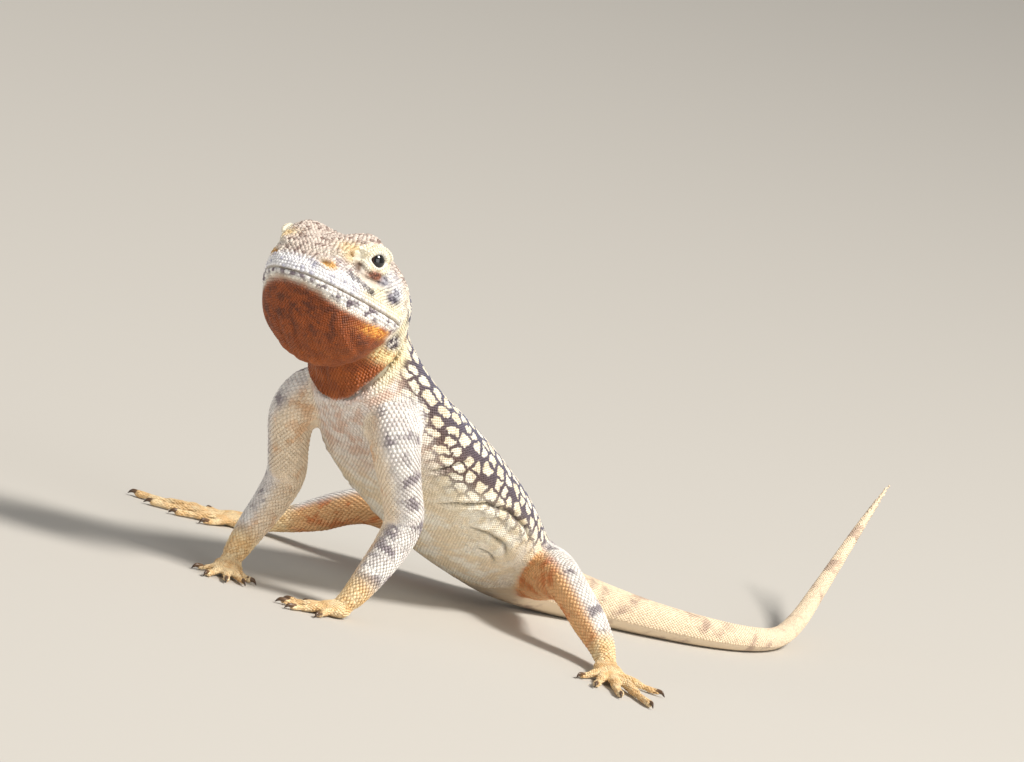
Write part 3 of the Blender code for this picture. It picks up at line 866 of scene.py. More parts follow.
def triangles_of(mesh: bpy.types.Mesh) -> Array:
    """The corner numbers of a mesh's triangles.

    Args:
        mesh: The mesh.

    Returns:
        A row of three for each triangle.
    """
    mesh.calc_loop_triangles()
    found = np.empty(len(mesh.loop_triangles) * 3, dtype=np.int64)
    mesh.loop_triangles.foreach_get("vertices", found)
    return found.reshape(-1, 3)


def points_of(mesh: bpy.types.Mesh) -> Array:
    """The places of a mesh's vertices.

    Args:
        mesh: The mesh.

    Returns:
        A row of x, y and z for each vertex.
    """
    found = np.empty(len(mesh.vertices) * 3, dtype=float)
    mesh.vertices.foreach_get("co", found)
    return found.reshape(-1, 3)


def normals_at(points: Array, triangles: Array) -> Array:
    """The smoothed outward direction at each point of a closed mesh.

    Args:
        points: Its points.
        triangles: Its triangles, as point numbers.

    Returns:
        A direction for each point.
    """
    first, second, third = (points[triangles[:, index]] for index in range(3))
    facing = np.cross(second - first, third - first)
    total = np.zeros_like(points)
    for index in range(3):
        for axis in range(3):
            total[:, axis] += np.bincount(triangles[:, index], facing[:, axis], len(points))
    return unit(total)


def merge(lofts: Iterable[Loft]) -> tuple[Array, list[tuple[int, ...]]]:
    """The points and faces of several forms in one list.

    Args:
        lofts: The forms.

    Returns:
        All points and all faces.
    """
    points, faces, count = [], [], 0
    for loft in lofts:
        own, sides = loft.solid()
        points.append(own)
        faces.extend(tuple(index + count for index in face) for face in sides)
        count += len(own)
    return np.concatenate(points), faces


@dataclass
class Placement:
    """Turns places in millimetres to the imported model's frame, in metres."""

    shift: Array

    @classmethod
    def from_eye(cls, eye: Eye) -> Placement:
        """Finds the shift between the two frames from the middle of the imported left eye.

        Args:
            eye: The left eye in the animal's own frame.

        Returns:
            The placement.
        """
        low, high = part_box("left_eye")
        middle = (np.array(low) + np.array(high)) / 2 / MM
        return cls(middle - eye.centre())

    def metres(self, points: Array) -> Array:
        """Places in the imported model's frame. What would reach under the floor lies level on it.

        Args:
            points: Places in millimetres.

        Returns:
            The places in metres.
        """
        moved = (points + self.shift) * MM
        moved[..., 2] = np.maximum(moved[..., 2], 0.0)
        return moved


def piece_from(name: str, points: Array, faces: Array | list[tuple[int, ...]]) -> bpy.types.Object:
    """A smoothly shaded object in the scene from points in metres and faces.

    Args:
        name: The piece's name.
        points: Its vertices.
        faces: Its faces, as corner numbers.

    Returns:
        The object.
    """
    mesh = bpy.data.meshes.new(name)
    if isinstance(faces, np.ndarray):
        sides = faces.shape[1]
        mesh.vertices.add(len(points))
        mesh.vertices.foreach_set("co", points.astype(np.float32).ravel())
        mesh.loops.add(faces.size)
        mesh.loops.foreach_set("vertex_index", faces.astype(np.int32).ravel())
        mesh.polygons.add(len(faces))
        mesh.polygons.foreach_set("loop_start", np.arange(0, faces.size, sides, dtype=np.int32))
        mesh.update(calc_edges=True)
    else:
        mesh.from_pydata(points.tolist(), [], faces)
        mesh.update()
    mesh.polygons.foreach_set("use_smooth", np.ones(len(mesh.polygons), dtype=bool))
    made = bpy.data.objects.new(name, mesh)
    bpy.context.scene.collection.objects.link(made)
    return made


@dataclass
class Survey:
    """Tells where on the animal any point lies: along and round the body or a leg, and how near each is."""

    trunk: Loft
    legs: list[Leg]

    def __post_init__(self) -> None:
        """Gathers the points that places are read from."""
        self.leg_lofts = [leg.loft() for leg in self.legs]
        self.trunk_tree = self.tree_of([self.trunk.rings.reshape(-1, 3)])
        groups: list[Array] = []
        owners: list[tuple[int, int]] = []
        for number, (leg, loft) in enumerate(zip(self.legs, self.leg_lofts)):
            rings, sides = loft.rings.shape[:2]
            groups.append(loft.rings.reshape(-1, 3))
            owners += [(number, ring) for ring in range(rings) for _ in range(sides)]
            for part in [leg.palm(), *leg.toes()]:
                groups.append(part.rings.reshape(-1, 3))
                owners += [(number, rings - 1)] * len(groups[-1])
        self.owners = np.array(owners)
        self.leg_tree = self.tree_of(groups)

    @staticmethod
    def tree_of(groups: list[Array]) -> KDTree:
        """A search tree over points.

        Args:
            groups: Lots of points.

        Returns:
            The tree, which numbers the points in order.
        """
        points = np.concatenate(groups)
        tree = KDTree(len(points))
        for index, point in enumerate(points.tolist()):
            tree.insert(point, index)
        tree.balance()
        return tree

    @staticmethod
    def nearest(tree: KDTree, points: Array) -> tuple[Array, Array]:
        """The number and the distance of the nearest point of a tree."""
        found = [tree.find(point) for point in points.tolist()]
        return np.array([item[1] for item in found]), np.array([item[2] for item in found])

    def read(self, points: Array) -> dict[str, Array]:
        """Reads every place that the markings need.

        Args:
            points: Places in millimetres.

        Returns:
            Places along and round the trunk and the nearest leg, distances from each, and places on the head.
        """
        index, trunk_gap = self.nearest(self.trunk_tree, points)
        ring = index // self.trunk.rings.shape[1]
        along, angle = self.trunk.read(points, ring)
        girth = self.trunk.girths()[ring]
        index, leg_gap = self.nearest(self.leg_tree, points)
        owner = self.owners[index]
        leg_along, leg_angle = np.zeros(len(points)), np.zeros(len(points))
        outer = np.zeros(len(points))
        for number, loft in enumerate(self.leg_lofts):
            own = owner[:, 0] == number
            leg_along[own], leg_angle[own] = loft.read(points[own], owner[own, 1])
            side = self.legs[number].side.value
            spread = unit(points[own] - loft.middles[owner[own, 1]])
            # the direction of a leg's pale side; sides turned away from it get the warm colour, partly a
            # painted warm bounce light
            way = (0.75 * side, 0.1, 0.65) if self.legs[number].plan is HAND else (0.55 * side, 0.6, 0.6)
            outer[own] = spread @ unit(np.array(way))
        return {
            "along": along,
            "angle": angle,
            "girth": girth,
            "trunk_gap": trunk_gap,
            "leg": owner[:, 0].astype(float),
            "leg_along": leg_along,
            "leg_angle": leg_angle,
            "leg_gap": leg_gap,
            "outer": outer,
            "head": AXES.read(points),
        }


@dataclass(frozen=True)
class Fold:
    """A crease in the skin: places along the body and degrees from the back, with its depth and width."""

    places: tuple[tuple[float, float], ...]
    depth: float
    width: float
    both_sides: bool = True

    def relief(self, along: Array, angle: Array, girth: Array) -> Array:
        """How far the crease and its soft edges move the skin, for many places.

        Args:
            along: Places along the body in millimetres.
            angle: Degrees from the back, positive to the left.
            girth: The length round the body at each.

        Returns:
            Heights in millimetres.
        """
        turn = np.abs(angle) if self.both_sides else angle
        scale = girth / 360
        nearest = np.full(len(along), 1e6)
        share = np.zeros(len(along))
        spans = list(zip(self.places, self.places[1:]))
        for number, ((a0, t0), (a1, t1)) in enumerate(spans):
            way = np.stack([np.full(len(along), a1 - a0), (t1 - t0) * scale], axis=1)
            off = np.stack([along - a0, (turn - t0) * scale], axis=1)
            part = np.clip(np.sum(off * way, axis=1) / np.maximum(np.sum(way * way, axis=1), 1e-9), 0, 1)
            gap = np.linalg.norm(off - way * part[:, None], axis=1)
            closer = gap < nearest
            nearest = np.where(closer, gap, nearest)
            share = np.where(closer, (number + part) / len(spans), share)
        fade = step(0.0, 0.2, share) * step(1.0, 0.75, share)
        cut = -np.exp(-((nearest / (0.5 * self.width)) ** 2))
        edge = 0.45 * np.exp(-(((nearest - 1.25 * self.width) / (0.8 * self.width)) ** 2))
        return self.depth * fade * (cut + edge)


# The fold across the throat, where its colour ends.
GULAR_FOLD = Fold(
    ((5.4, 84.0), (7.2, 108.0), (8.4, 133.0), (9.4, 151.0), (10.6, 166.0), (11.0, 180.0)),
    0.85,
    0.8,
)


@dataclass
class Hide:
    """The whole animal's skin in one surface, with folds, lips, nostrils, ears and gaps for the eyes."""

    skull: Skull
    trunk: Trunk
    legs: list[Leg]
    eyes: list[Eye]
    voxel: float = 0.46
    folds: tuple[Fold, ...] = (
        GULAR_FOLD,
        Fold(((12.5, 96.0), (14.5, 118.0), (15.8, 140.0)), 0.45, 0.7),
        Fold(((24.5, 126.0), (26.4, 107.0), (29.0, 92.0)), 0.45, 0.6),
        Fold(
            ((31.5, 142.0), (34.0, 122.0), (38.0, 106.0), (44.0, 97.0), (51.0, 94.0), (56.0, 100.0)),
            0.5,
            0.7,
        ),
        Fold(((40.0, 128.0), (45.0, 117.0), (50.0, 113.0), (54.0, 118.0)), 0.4, 0.7),
        Fold(((47.0, 132.0), (50.5, 126.0), (54.5, 128.0)), 0.32, 0.6),
    )

    def __post_init__(self) -> None:
        """Makes the forms that the skin is drawn over."""
        self.head_loft = self.skull.loft()
        self.trunk_loft = self.trunk.loft()
        self.survey = Survey(self.trunk_loft, self.legs)
        self.points = np.zeros((0, 3))
        self.triangles = np.zeros((0, 3), dtype=int)
        self.normals = np.zeros((0, 3))

    def joined_forms(self) -> bpy.types.Object:
        """All forms as one surface of small even faces.

        Returns:
            The surface, in the scene.
        """
        lofts = [self.head_loft, self.trunk_loft]
        for leg in self.legs:
            lofts += [leg.loft(), leg.palm(), *leg.toes()]
        lofts += [eye.lid_ball() for eye in self.eyes]
        points, faces = merge(lofts)
        rough = piece_from("rough_skin", points, faces)
        even = rough.modifiers.new("even", "REMESH")
        even.mode = "VOXEL"
        even.voxel_size = self.voxel
        even.adaptivity = 0.0
        graph = bpy.context.evaluated_depsgraph_get()
        mesh = bpy.data.meshes.new_from_object(rough.evaluated_get(graph))
        old = rough.data
        rough.modifiers.clear()
        rough.data = mesh
        bpy.data.meshes.remove(old)
        return rough

    def refine(self, rough: bpy.types.Object, wanted: Array) -> None:
        """Splits faces of the skin into four.

        Args:
            rough: The skin.
            wanted: Which points are marked. A face is split where all its corners are.
        """
        mesh = bmesh.new()
        mesh.from_mesh(rough.data)
        mesh.verts.ensure_lookup_table()
        chosen = (face for face in mesh.faces if all(wanted[corner.index] for corner in face.verts))
        edges = {edge for face in chosen for edge in face.edges}
        bmesh.ops.subdivide_edges(mesh, edges=list(edges), cuts=1, use_grid_fill=True)
        mesh.to_mesh(rough.data)
        mesh.free()

    def read_back(self, rough: bpy.types.Object) -> Array:
        """Reads the surface's points, triangles and directions again.

        Args:
            rough: The skin.

        Returns:
            Its edges, as pairs of point numbers.
        """
        self.points = points_of(rough.data)
        self.triangles = triangles_of(rough.data)
        self.normals = normals_at(self.points, self.triangles)
        pairs = np.empty(len(rough.data.edges) * 2, dtype=np.int64)
        rough.data.edges.foreach_get("vertices", pairs)
        return pairs.reshape(-1, 2)

    def write_back(self, rough: bpy.types.Object, points: Array) -> None:
        """Stores moved points."""
        rough.data.vertices.foreach_set("co", points.astype(np.float32).ravel())
        rough.data.update()

    def mouth_gap(self, head: Array) -> Array:
        """How far above the line of the mouth places on the head lie."""
        return head[:, 2] - self.skull.mouth_height(head[:, 0])

    def near_mouth(self, head: Array) -> Array:
        """Where the lips are: 1 along the mouth and less behind its corner."""
        corner = self.skull.mouth_corner
        return step(corner + 1.0, corner - 1.2, head[:, 0]) * (np.abs(self.mouth_gap(head)) < 4)

    def head_relief(self, head: Array) -> Array:
        """Heights of lips, mouth line, nostrils, ears, snout ridges and wrinkles of the head.

        Args:
            head: Places back, out and up on the head.

        Returns:
            Heights in millimetres.
        """
        gap = self.mouth_gap(head)
        mouth = self.near_mouth(head)
        height = mouth * 0.08 * np.exp(-(((gap - 0.55) / 0.40) ** 2))
        height += mouth * 0.16 * np.exp(-(((gap + 0.75) / 0.50) ** 2))
        height -= mouth * 0.34 * np.exp(-((gap / 0.13) ** 2))
        height -= 0.5 * bell(head, self.skull.nostril, (0.46, 1.2, 0.32))
        ring = rim_share(head, self.skull.nostril, (0.95, 0.72))
        height += 0.16 * (np.abs(head[:, 1]) > 3.0) * np.exp(-(((ring - 1.0) / 0.3) ** 2))
        height -= 1.25 * bell(head, self.skull.ear, (0.85, 1.8, 1.3))
        rim = rim_share(head, self.skull.ear, (1.35, 1.9))
        height += 0.28 * (np.abs(head[:, 1]) > 6) * np.exp(-(((rim - 1.15) / 0.28) ** 2))
        ridge = head[:, 2] - (3.1 + 0.32 * head[:, 0])
        snout = 0.30 * step(1.5, 3.0, head[:, 0]) * step(8.6, 7.0, head[:, 0])
        height += snout * np.exp(-((ridge / 0.45) ** 2))
        height -= 0.30 * bell(head, (9.4, 9.0, 1.3), (2.6, 2.0, 0.35))
        height -= 0.22 * bell(head, (12.6, 9.6, 0.5), (2.4, 2.0, 0.3))
        return height

    def throat_relief(self, head: Array) -> Array:
        """Long shallow wrinkles of the throat skin.

        Args:
            head: Places back, out and up on the head.

        Returns:
            Heights in millimetres.
        """
        back, out, up = head.T
        low = step(-5.0, -8.0, up) * step(23.0, 18.0, back) * step(0.5, 3.0, back)
        wave = np.sin(out * 2.1 + 0.6 * np.sin(back * 0.5)) + 0.6 * np.sin(out * 4.3 + 1.0)
        return 0.07 * low * wave

    def body_relief(self, place: dict[str, Array]) -> Array:
        """Heights of the folds of neck, flank and groin.

        Args:
            place: What the survey reads at each place.

        Returns:
            Heights in millimetres.
        """
        along, angle, girth = place["along"], place["angle"], place["girth"]
        body = step(-1.0, 1.5, along) * step(0.8, 2.2, place["leg_gap"])
        height = sum(fold.relief(along, angle, girth) for fold in self.folds) * body
        keel = np.exp(-((angle * girth / 360 / 0.55) ** 2)) * step(0.0, 3.0, along) * step(96, 60, along)
        return height + 0.12 * keel

    def build(self, placement: Placement) -> bpy.types.Object:
        """Makes the skin.

        Args:
            placement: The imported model's frame.

        Returns:
            The skin, in the scene.
        """
        rough = self.joined_forms()
        edges = self.read_back(rough)
        points = relax(self.points, edges, 6, 0.5, 1.04)
        place = self.survey.read(points)
        joint = step(2.6, 1.0, np.maximum(place["trunk_gap"], place["leg_gap"])) * (place["along"] > -2)
        points = relax(points, edges, 30, 0.6 * joint)
        middle, forward, above = self.skull.joint_frame()
        ahead, aside = (points - middle) @ forward, points @ LEFT - middle @ LEFT
        nape = step(5.0, 2.0, np.abs(ahead)) * step(14.0, 11.0, np.abs(aside))
        points = relax(points, edges, 60, 0.6 * nape * step(4.0, -2.0, (points - middle) @ above))
        points = relax(points, edges, 3, 0.5, 1.04)
        self.write_back(rough, points)
        head = AXES.read(points)
        on_head = (head[:, 0] < 22.5) & (head[:, 2] > -15.5) & (np.abs(head[:, 1]) < 14)
        self.refine(rough, on_head)
        edges = self.read_back(rough)
        head = AXES.read(self.points)
        fine = np.abs(self.mouth_gap(head)) < 1.3
        fine &= (head[:, 0] < 18.4) & (head[:, 2] > -8)
        for eye in self.eyes:
            fine |= np.linalg.norm(self.points - eye.centre(), axis=1) < 3.9
        for middle, reach in ((self.skull.nostril, 1.7), (self.skull.ear, 2.4)):
            fine |= np.linalg.norm(mirrored(head) - middle, axis=1) < reach
        self.refine(rough, fine)
        self.read_back(rough)
        finest = np.zeros(len(self.points), dtype=bool)
        for eye in self.eyes:
            aim = eye.frame()[0]
            offset = self.points - eye.centre()
            finest |= (np.linalg.norm(offset, axis=1) < 3.4) & (unit(offset) @ aim > 0.62)
        self.refine(rough, finest)
        edges = self.read_back(rough)
        head = AXES.read(self.points)
        points = relax(self.points, edges, 3, 0.5 * (head[:, 0] < 23), 1.04)
        self.write_back(rough, points)
        self.read_back(rough)
        place = self.survey.read(self.points)
        on_head = step(22.5, 20.0, head[:, 0]) * (head[:, 2] > -15.5)
        height = self.head_relief(head) * on_head + self.throat_relief(head) + self.body_relief(place)
        points = self.points + self.normals * height[:, None]
        for eye in self.eyes:
            points = eye.shape_lids(points)
        self.write_back(rough, points)
        self.read_back(rough)
        rough.name = "skin"
        rough.data.name = "skin"
        rough.data.polygons.foreach_set("use_smooth", [True] * len(rough.data.polygons))
        self.write_back(rough, placement.metres(self.points))
        return rough


@dataclass(frozen=True)
class ScaleShape:
    """The corners of a scale: across and along it as shares of its half sizes, and up of its height."""

    corners: tuple[Triple, ...]
    faces: tuple[tuple[int, int, int], ...] = (
        (0, 2, 6),
        (0, 6, 1),
        (1, 6, 7),
        (1, 7, 3),
        (2, 4, 7),
        (2, 7, 6),
        (3, 7, 5),
        (4, 5, 7),
        (0, 1, 8),
        (1, 3, 8),
        (3, 5, 8),
        (5, 4, 8),
        (4, 2, 8),
        (2, 0, 8),
    )


class ScaleKind(Enum):
    """The kinds of scale, each with its shape."""

    KEELED = ScaleShape(
        (
            (0.0, -1.0, -0.7),
            (-0.66, -0.4, 0.0),
            (0.66, -0.4, 0.0),
            (-0.84, 0.22, 0.15),
            (0.84, 0.22, 0.15),
            (0.0, 1.0, 0.75),
            (0.0, -0.35, 0.75),
            (0.0, 0.35, 1.15),
            (0.0, 0.1, -2.2),
        )
    )
    SMOOTH = ScaleShape(
        (
            (0.0, -1.0, -0.7),
            (-0.8, -0.55, 0.0),
            (0.8, -0.55, 0.0),
            (-0.92, 0.35, 0.2),
            (0.92, 0.35, 0.2),
            (0.0, 0.92, 0.6),
            (0.0, -0.3, 0.65),
            (0.0, 0.45, 0.95),
            (0.0, 0.1, -2.2),
        )
    )
    BEAD = ScaleShape(
        (
            (0.0, -0.98, -0.1),
            (-0.82, -0.52, 0.05),
            (0.82, -0.52, 0.05),
            (-0.86, 0.48, 0.05),
            (0.86, 0.48, 0.05),
            (0.0, 0.98, 0.1),
            (0.0, -0.38, 1.0),
            (0.0, 0.40, 1.0),
            (0.0, 0.0, -2.2),
        )
    )
    SPINE = ScaleShape(
        (
            (0.0, -1.0, -0.6),
            (-0.7, -0.5, -0.2),
            (0.7, -0.5, -0.2),
            (-0.55, 0.2, 0.1),
            (0.55, 0.2, 0.1),
            (0.0, 1.25, 1.6),
            (0.0, -0.35, 0.6),
            (0.0, 0.35, 1.3),
            (0.0, 0.0, -2.2),
        )
    )


@dataclass
class Roots:
    """Where scales grow: places, the way they lie, their place on the unwrapped form, and their sizes."""

    points: Array
    lie: Array
    unwrapped: Array
    width: Array
    length: Array
    normals: Array | None = None

    def keep(self, wanted: Array) -> Roots:
        """Only the roots that are wanted.

        Args:
            wanted: True for each root to keep.

        Returns:
            Those roots.
        """
        normals = None if self.normals is None else self.normals[wanted]
        sizes = (self.width[wanted], self.length[wanted])
        return Roots(self.points[wanted], self.lie[wanted], self.unwrapped[wanted], *sizes, normals)

    @staticmethod
    def joined(parts: list[Roots]) -> Roots:
        """Several lots of roots in one."""
        names = ("points", "lie", "unwrapped", "width", "length", "normals")
        return Roots(*(np.concatenate([getattr(part, name) for part in parts]) for name in names))


def rows_on(loft: Loft, pitch: float, spacing: float, overlap: float) -> Roots:
    """Staggered rows of roots round a form.

    Args:
        loft: The form.
        pitch: The distance between neighbours in a row, in millimetres.
        spacing: The distance between rows.
        overlap: The length of a scale over twice the spacing.

    Returns:
        The roots on the form.
    """
    rings = np.roll(loft.rings[:, ::-1], loft.rings.shape[1] // 4 + 1, axis=1)
    spans = np.linalg.norm(np.diff(rings, axis=0), axis=2).mean(axis=1)
    reach = np.concatenate(([0.0], np.cumsum(spans)))
    total = reach[-1]
    points, lies, places, widths = [], [], [], []
    count = 0
    for number, place in enumerate(np.arange(spacing, total, spacing)):
        index = min(int(np.searchsorted(reach, place, side="right")) - 1, len(spans) - 1)
        share = (place - reach[index]) / max(spans[index], 1e-9)
        ring = rings[index] * (1 - share) + rings[index + 1] * share
        way = rings[index + 1] - rings[index]
        closed = np.vstack((ring, ring[:1]))
        arc = np.concatenate(([0.0], np.cumsum(np.linalg.norm(np.diff(closed, axis=0), axis=1))))
        girth = arc[-1]
        if count == 0 or abs(girth / count / pitch - 1) > 0.1:
            count = max(5, 2 * round(girth / pitch / 2))
        at = (np.arange(count) + 0.5 * (number % 2)) / count * girth
        ways = np.vstack((way, way[:1]))
        points.append(np.stack([np.interp(at, arc, closed[:, axis]) for axis in range(3)], axis=1))
        lies.append(np.stack([np.interp(at, arc, ways[:, axis]) for axis in range(3)], axis=1))
        places.append(np.stack([np.full(count, place / total), at / girth], axis=1))
        widths.append(np.full(count, girth / count))
    width = np.concatenate(widths)
    length = np.full(len(width), 2 * spacing * overlap)
    return Roots(np.concatenate(points), unit(np.concatenate(lies)), np.concatenate(places), width, length)


@dataclass(frozen=True)
class ScaleRows:
    """One kind of scale on one stretch of the animal, with its sizes in millimetres."""

    kind: ScaleKind
    pitch: float
    spacing: float
    height: float
    region: str
    overlap: float = 1.12


# Rows of beads on the lips: height over the line of the mouth, distance between beads, and their height.
UPPER_LIP: tuple[Triple, ...] = ((0.40, 0.74, 0.60), (0.93, 0.62, 0.52), (1.42, 0.56, 0.48))
LOWER_LIP: tuple[Triple, ...] = ((-0.46, 0.80, 0.70), (-1.08, 0.70, 0.60), (-1.64, 0.62, 0.56))


@dataclass
class Coat:
    """The scales over the skin, in one joined mesh for each part of the body."""

    hide: Hide
    skin_points: Array
    seed: int = SEED
    patch: float = 0.003  # how wide a scale is on the unwrapped skin
    lip_turn: float = 62.0  # how many degrees of the snout's front the first part of a lip goes round
    lip_middle: float = 9.0  # how far back the middle of that turn is
    lip_reach: float = 14.0  # how far out the lines start that find the second part
    lip_counts: tuple[int, int] = (160, 400)  # places along each part

    def __post_init__(self) -> None:
        """Prepares the skin for finding the nearest place on it."""
        self.tree = BVHTree.FromPolygons(self.skin_points.tolist(), self.hide.triangles.tolist())
        self.random = np.random.default_rng(self.seed)

    def on_skin(self, roots: Roots, reach: float) -> Roots:
        """Moves roots to the nearest skin and leaves out those that lie too far from it.

        Args:
            roots: The roots.
            reach: The greatest distance from the skin.

        Returns:
            The roots on the skin, with its outward directions.
        """
        found = [self.tree.find_nearest(point) for point in roots.points.tolist()]
        places = np.array([item[0] for item in found])
        faces = np.array([item[2] for item in found])
        gap = np.array([item[3] for item in found])
        roots.normals = unit(self.hide.normals[self.hide.triangles[faces]].mean(axis=1))
        roots.points = places
        return roots.keep(gap < reach)

    def region(self, name: str, roots: Roots) -> Array:
        """Which roots lie in a named region.

        Args:
            name: The region's name.
            roots: Roots on the skin.

        Returns:
            True for each root in the region.
        """
        place = self.hide.survey.read(roots.points)
        head = place["head"]
        skull = self.hide.skull
        joint, forward, _ = skull.joint_frame()
        ahead = (roots.points - joint) @ forward
        gap = self.hide.mouth_gap(head)
        lips = (np.abs(gap + 0.12) < 1.74) & (head[:, 0] < skull.mouth_corner - 0.3)
        clear = np.ones(len(roots.points), dtype=bool)
        for eye in self.hide.eyes:
            aim, along, over = eye.frame()
            offset = roots.points - eye.centre()
            way = unit(offset) * (eye.radius + 0.2)
            near = (np.linalg.norm(offset, axis=1) < 4.4) & (way @ aim > 0.3)
            clear &= ~(near & (eye.opening_share(way @ along, way @ over) < 2.35))
        for middle, sizes in ((skull.nostril, (0.62, 1.2, 0.45)), (skull.ear, (1.0, 1.6, 1.45))):
            clear &= np.linalg.norm((mirrored(head) - middle) / sizes, axis=1) > 1.0
        crown = (roots.normals @ UP > 0.45) & (head[:, 2] > 2.0)
        low = gap < -1.5
        body = (ahead < 0.1) & (place["leg_gap"] > place["trunk_gap"] - 0.25)
        turned = np.abs(place["angle"])
        if name == "crown":
            return clear & (ahead > -0.1) & crown & ~lips
        if name == "cheek":
            return clear & (ahead > -0.1) & ~crown & ~low & ~lips
        if name == "throat":
            return clear & (ahead > -0.1) & ~crown & low & ~lips
        if name == "back":
            return body & (turned < 128)
        if name == "belly":
            return body & (turned >= 128) & (place["along"] < 64)
        if name == "leg":
            return place["leg_gap"] < place["trunk_gap"] - 0.1
        return np.ones(len(roots.points), dtype=bool)

    def rows(self, loft: Loft, plan: ScaleRows, reach: float = 0.8) -> Roots:
        """The roots of one kind of scale on a form."""
        roots = self.on_skin(rows_on(loft, plan.pitch, plan.spacing, plan.overlap), reach)
        return roots.keep(self.region(plan.region, roots))

    def lid_rows(self, eye: Eye) -> Roots:
        """Small beads in rings round the gap between the lids.

        Args:
            eye: The eye.

        Returns:
            The beads' roots.
        """
        aim, along, over = eye.frame()
        parts = []
        for number, share in enumerate((1.13, 1.30, 1.48, 1.68, 1.88, 2.08, 2.28)):
            count = int(24 + 10 * number)
            angle = 2 * np.pi * (np.arange(count) + 0.5 * (number % 2)) / count
            half_length, half_height = eye.opening
            flat_along = half_length * share * np.cos(angle)
            slim = np.clip(1 - eye.slim * np.clip(share * np.cos(angle), -1.6, 1.6) ** 2, 0.3, 1.0)
            flat_over = half_height * slim * share * np.sin(angle)
            depth = np.sqrt(np.maximum((eye.radius + 0.2) ** 2 - flat_along**2 - flat_over**2, 0.1))
            way = unit(np.outer(flat_along, along) + np.outer(flat_over, over) + np.outer(depth, aim))
            hits = [self.tree.ray_cast(eye.centre().tolist(), item, 6.0) for item in way.tolist()]
            hit = np.array([item[0] is not None for item in hits])
            points = np.array([item[0] if item[0] is not None else (0, 0, 0) for item in hits])
            faces = np.array([item[2] if item[2] is not None else 0 for item in hits])
            normals = unit(self.hide.normals[self.hide.triangles[faces]].mean(axis=1))
            lie = unit(way - aim)
            size = 0.34 + 0.05 * number
            head = AXES.read(points)
            unwrapped = np.stack([0.5 + head[:, 0] / 60, 0.25 + 0.5 * (head[:, 2] + 15) / 30], axis=1)
            roots = Roots(points, lie, unwrapped, np.full(count, size), np.full(count, size * 1.02), normals)
            parts.append(roots.keep(hit))
        return Roots.joined(parts)

    def lip_path(self, side: int, offset: float) -> tuple[Array, Array]:
        """Finds the skin along one lip, from the middle of the snout to the corner of the mouth.

        Args:
            side: 1 for the left side of the head and -1 for the right.
            offset: How far above the line of the mouth it is looked for.

        Returns:
            Places along the lip, and the number of the skin's face at each.
        """
        skull = self.hide.skull
        turned, straight = self.lip_counts
        fan = np.radians(np.linspace(0.0, self.lip_turn, turned))
        back = np.zeros(turned)
        for _ in range(3):  # the mouth's height and the place where it is read settle together
            height = skull.mouth_height(back) + offset
            starts = AXES.place(np.full(turned, self.lip_middle), np.zeros(turned), height)
            ends = AXES.place(self.lip_middle - np.cos(fan), side * np.sin(fan), height)
            front = self.hits(starts, ends)
            back = np.maximum(AXES.read(front[0])[:, 0], 0.0)
        behind = np.linspace(back[-1] + 0.1, skull.mouth_corner - 0.2, straight)
        height = skull.mouth_height(behind) + offset
        starts = AXES.place(behind, side * np.full(straight, self.lip_reach), height)
        rear = self.hits(starts, AXES.place(behind, np.zeros(straight), height))
        return np.concatenate((front[0], rear[0])), np.concatenate((front[1], rear[1]))

    def hits(self, starts: Array, ends: Array) -> tuple[Array, Array]:
        """Follows lines until they meet the skin.

        Args:
            starts: Where they start.
            ends: Places that they are aimed at.

        Returns:
            Where they meet it, and the number of the skin's face at each.
        """
        found = [
            self.tree.ray_cast(start, (Vector(end) - Vector(start)).normalized())
            for start, end in zip(starts.tolist(), ends.tolist())
        ]
        met = [item for item in found if item[0] is not None]
        return np.array([item[0] for item in met]), np.array([item[2] for item in met])

    def lip_rows(self, above: bool) -> Roots:
        """Finds the roots of three rows of beads along the upper or the lower lip, on both sides.

        Args:
            above: Whether it is the upper lip.

        Returns:
            The roots.
        """
        rows = UPPER_LIP if above else LOWER_LIP
        parts = []
        for number, (offset, pitch, tall) in enumerate(rows):
            for side in Side:
                places, faces = self.lip_path(side.value, offset)
                steps = np.linalg.norm(np.diff(places, axis=0), axis=1)
                reach = np.concatenate(([0.0], np.cumsum(steps)))
                at = np.arange((0.5 + 0.5 * number) * pitch * 0.5, reach[-1], pitch)
                points = np.stack([np.interp(at, reach, places[:, axis]) for axis in range(3)], axis=1)
                index = np.clip(np.searchsorted(reach, at), 0, len(faces) - 1)
                normals = unit(self.hide.normals[self.hide.triangles[faces[index]]].mean(axis=1))
                lie = unit(np.gradient(points, axis=0))
                head = AXES.read(points)
                unwrapped = np.stack([0.05 + head[:, 0] / 60, 0.5 + head[:, 1] / 40], axis=1)
                taper = 1 - 0.35 * step(12.0, 18.0, head[:, 0])
                parts.append(Roots(points, lie, unwrapped, tall * taper, pitch * 0.97 * taper, normals))
        return Roots.joined(parts)

    def crest_rows(self) -> Roots:
        """The low row of pointed scales along the middle of the nape and back.

        Returns:
            The scales' roots.
        """
        loft = self.hide.trunk_loft
        at = np.arange(1.5, 46.0, 0.95)
        index = np.searchsorted(loft.places, at)
        top = loft.rings.shape[1] // 4
        ring = loft.rings[np.clip(index, 0, len(loft.rings) - 1), top]
        count = len(at)
        size = 1.0 - 0.45 * step(20.0, 44.0, at)
        roots = Roots(
            ring,
            loft.along[index],
            np.stack([at / 200, np.full(count, 0.0)], axis=1),
            0.75 * size,
            1.25 * size,
        )
        return self.on_skin(roots, 1.5)

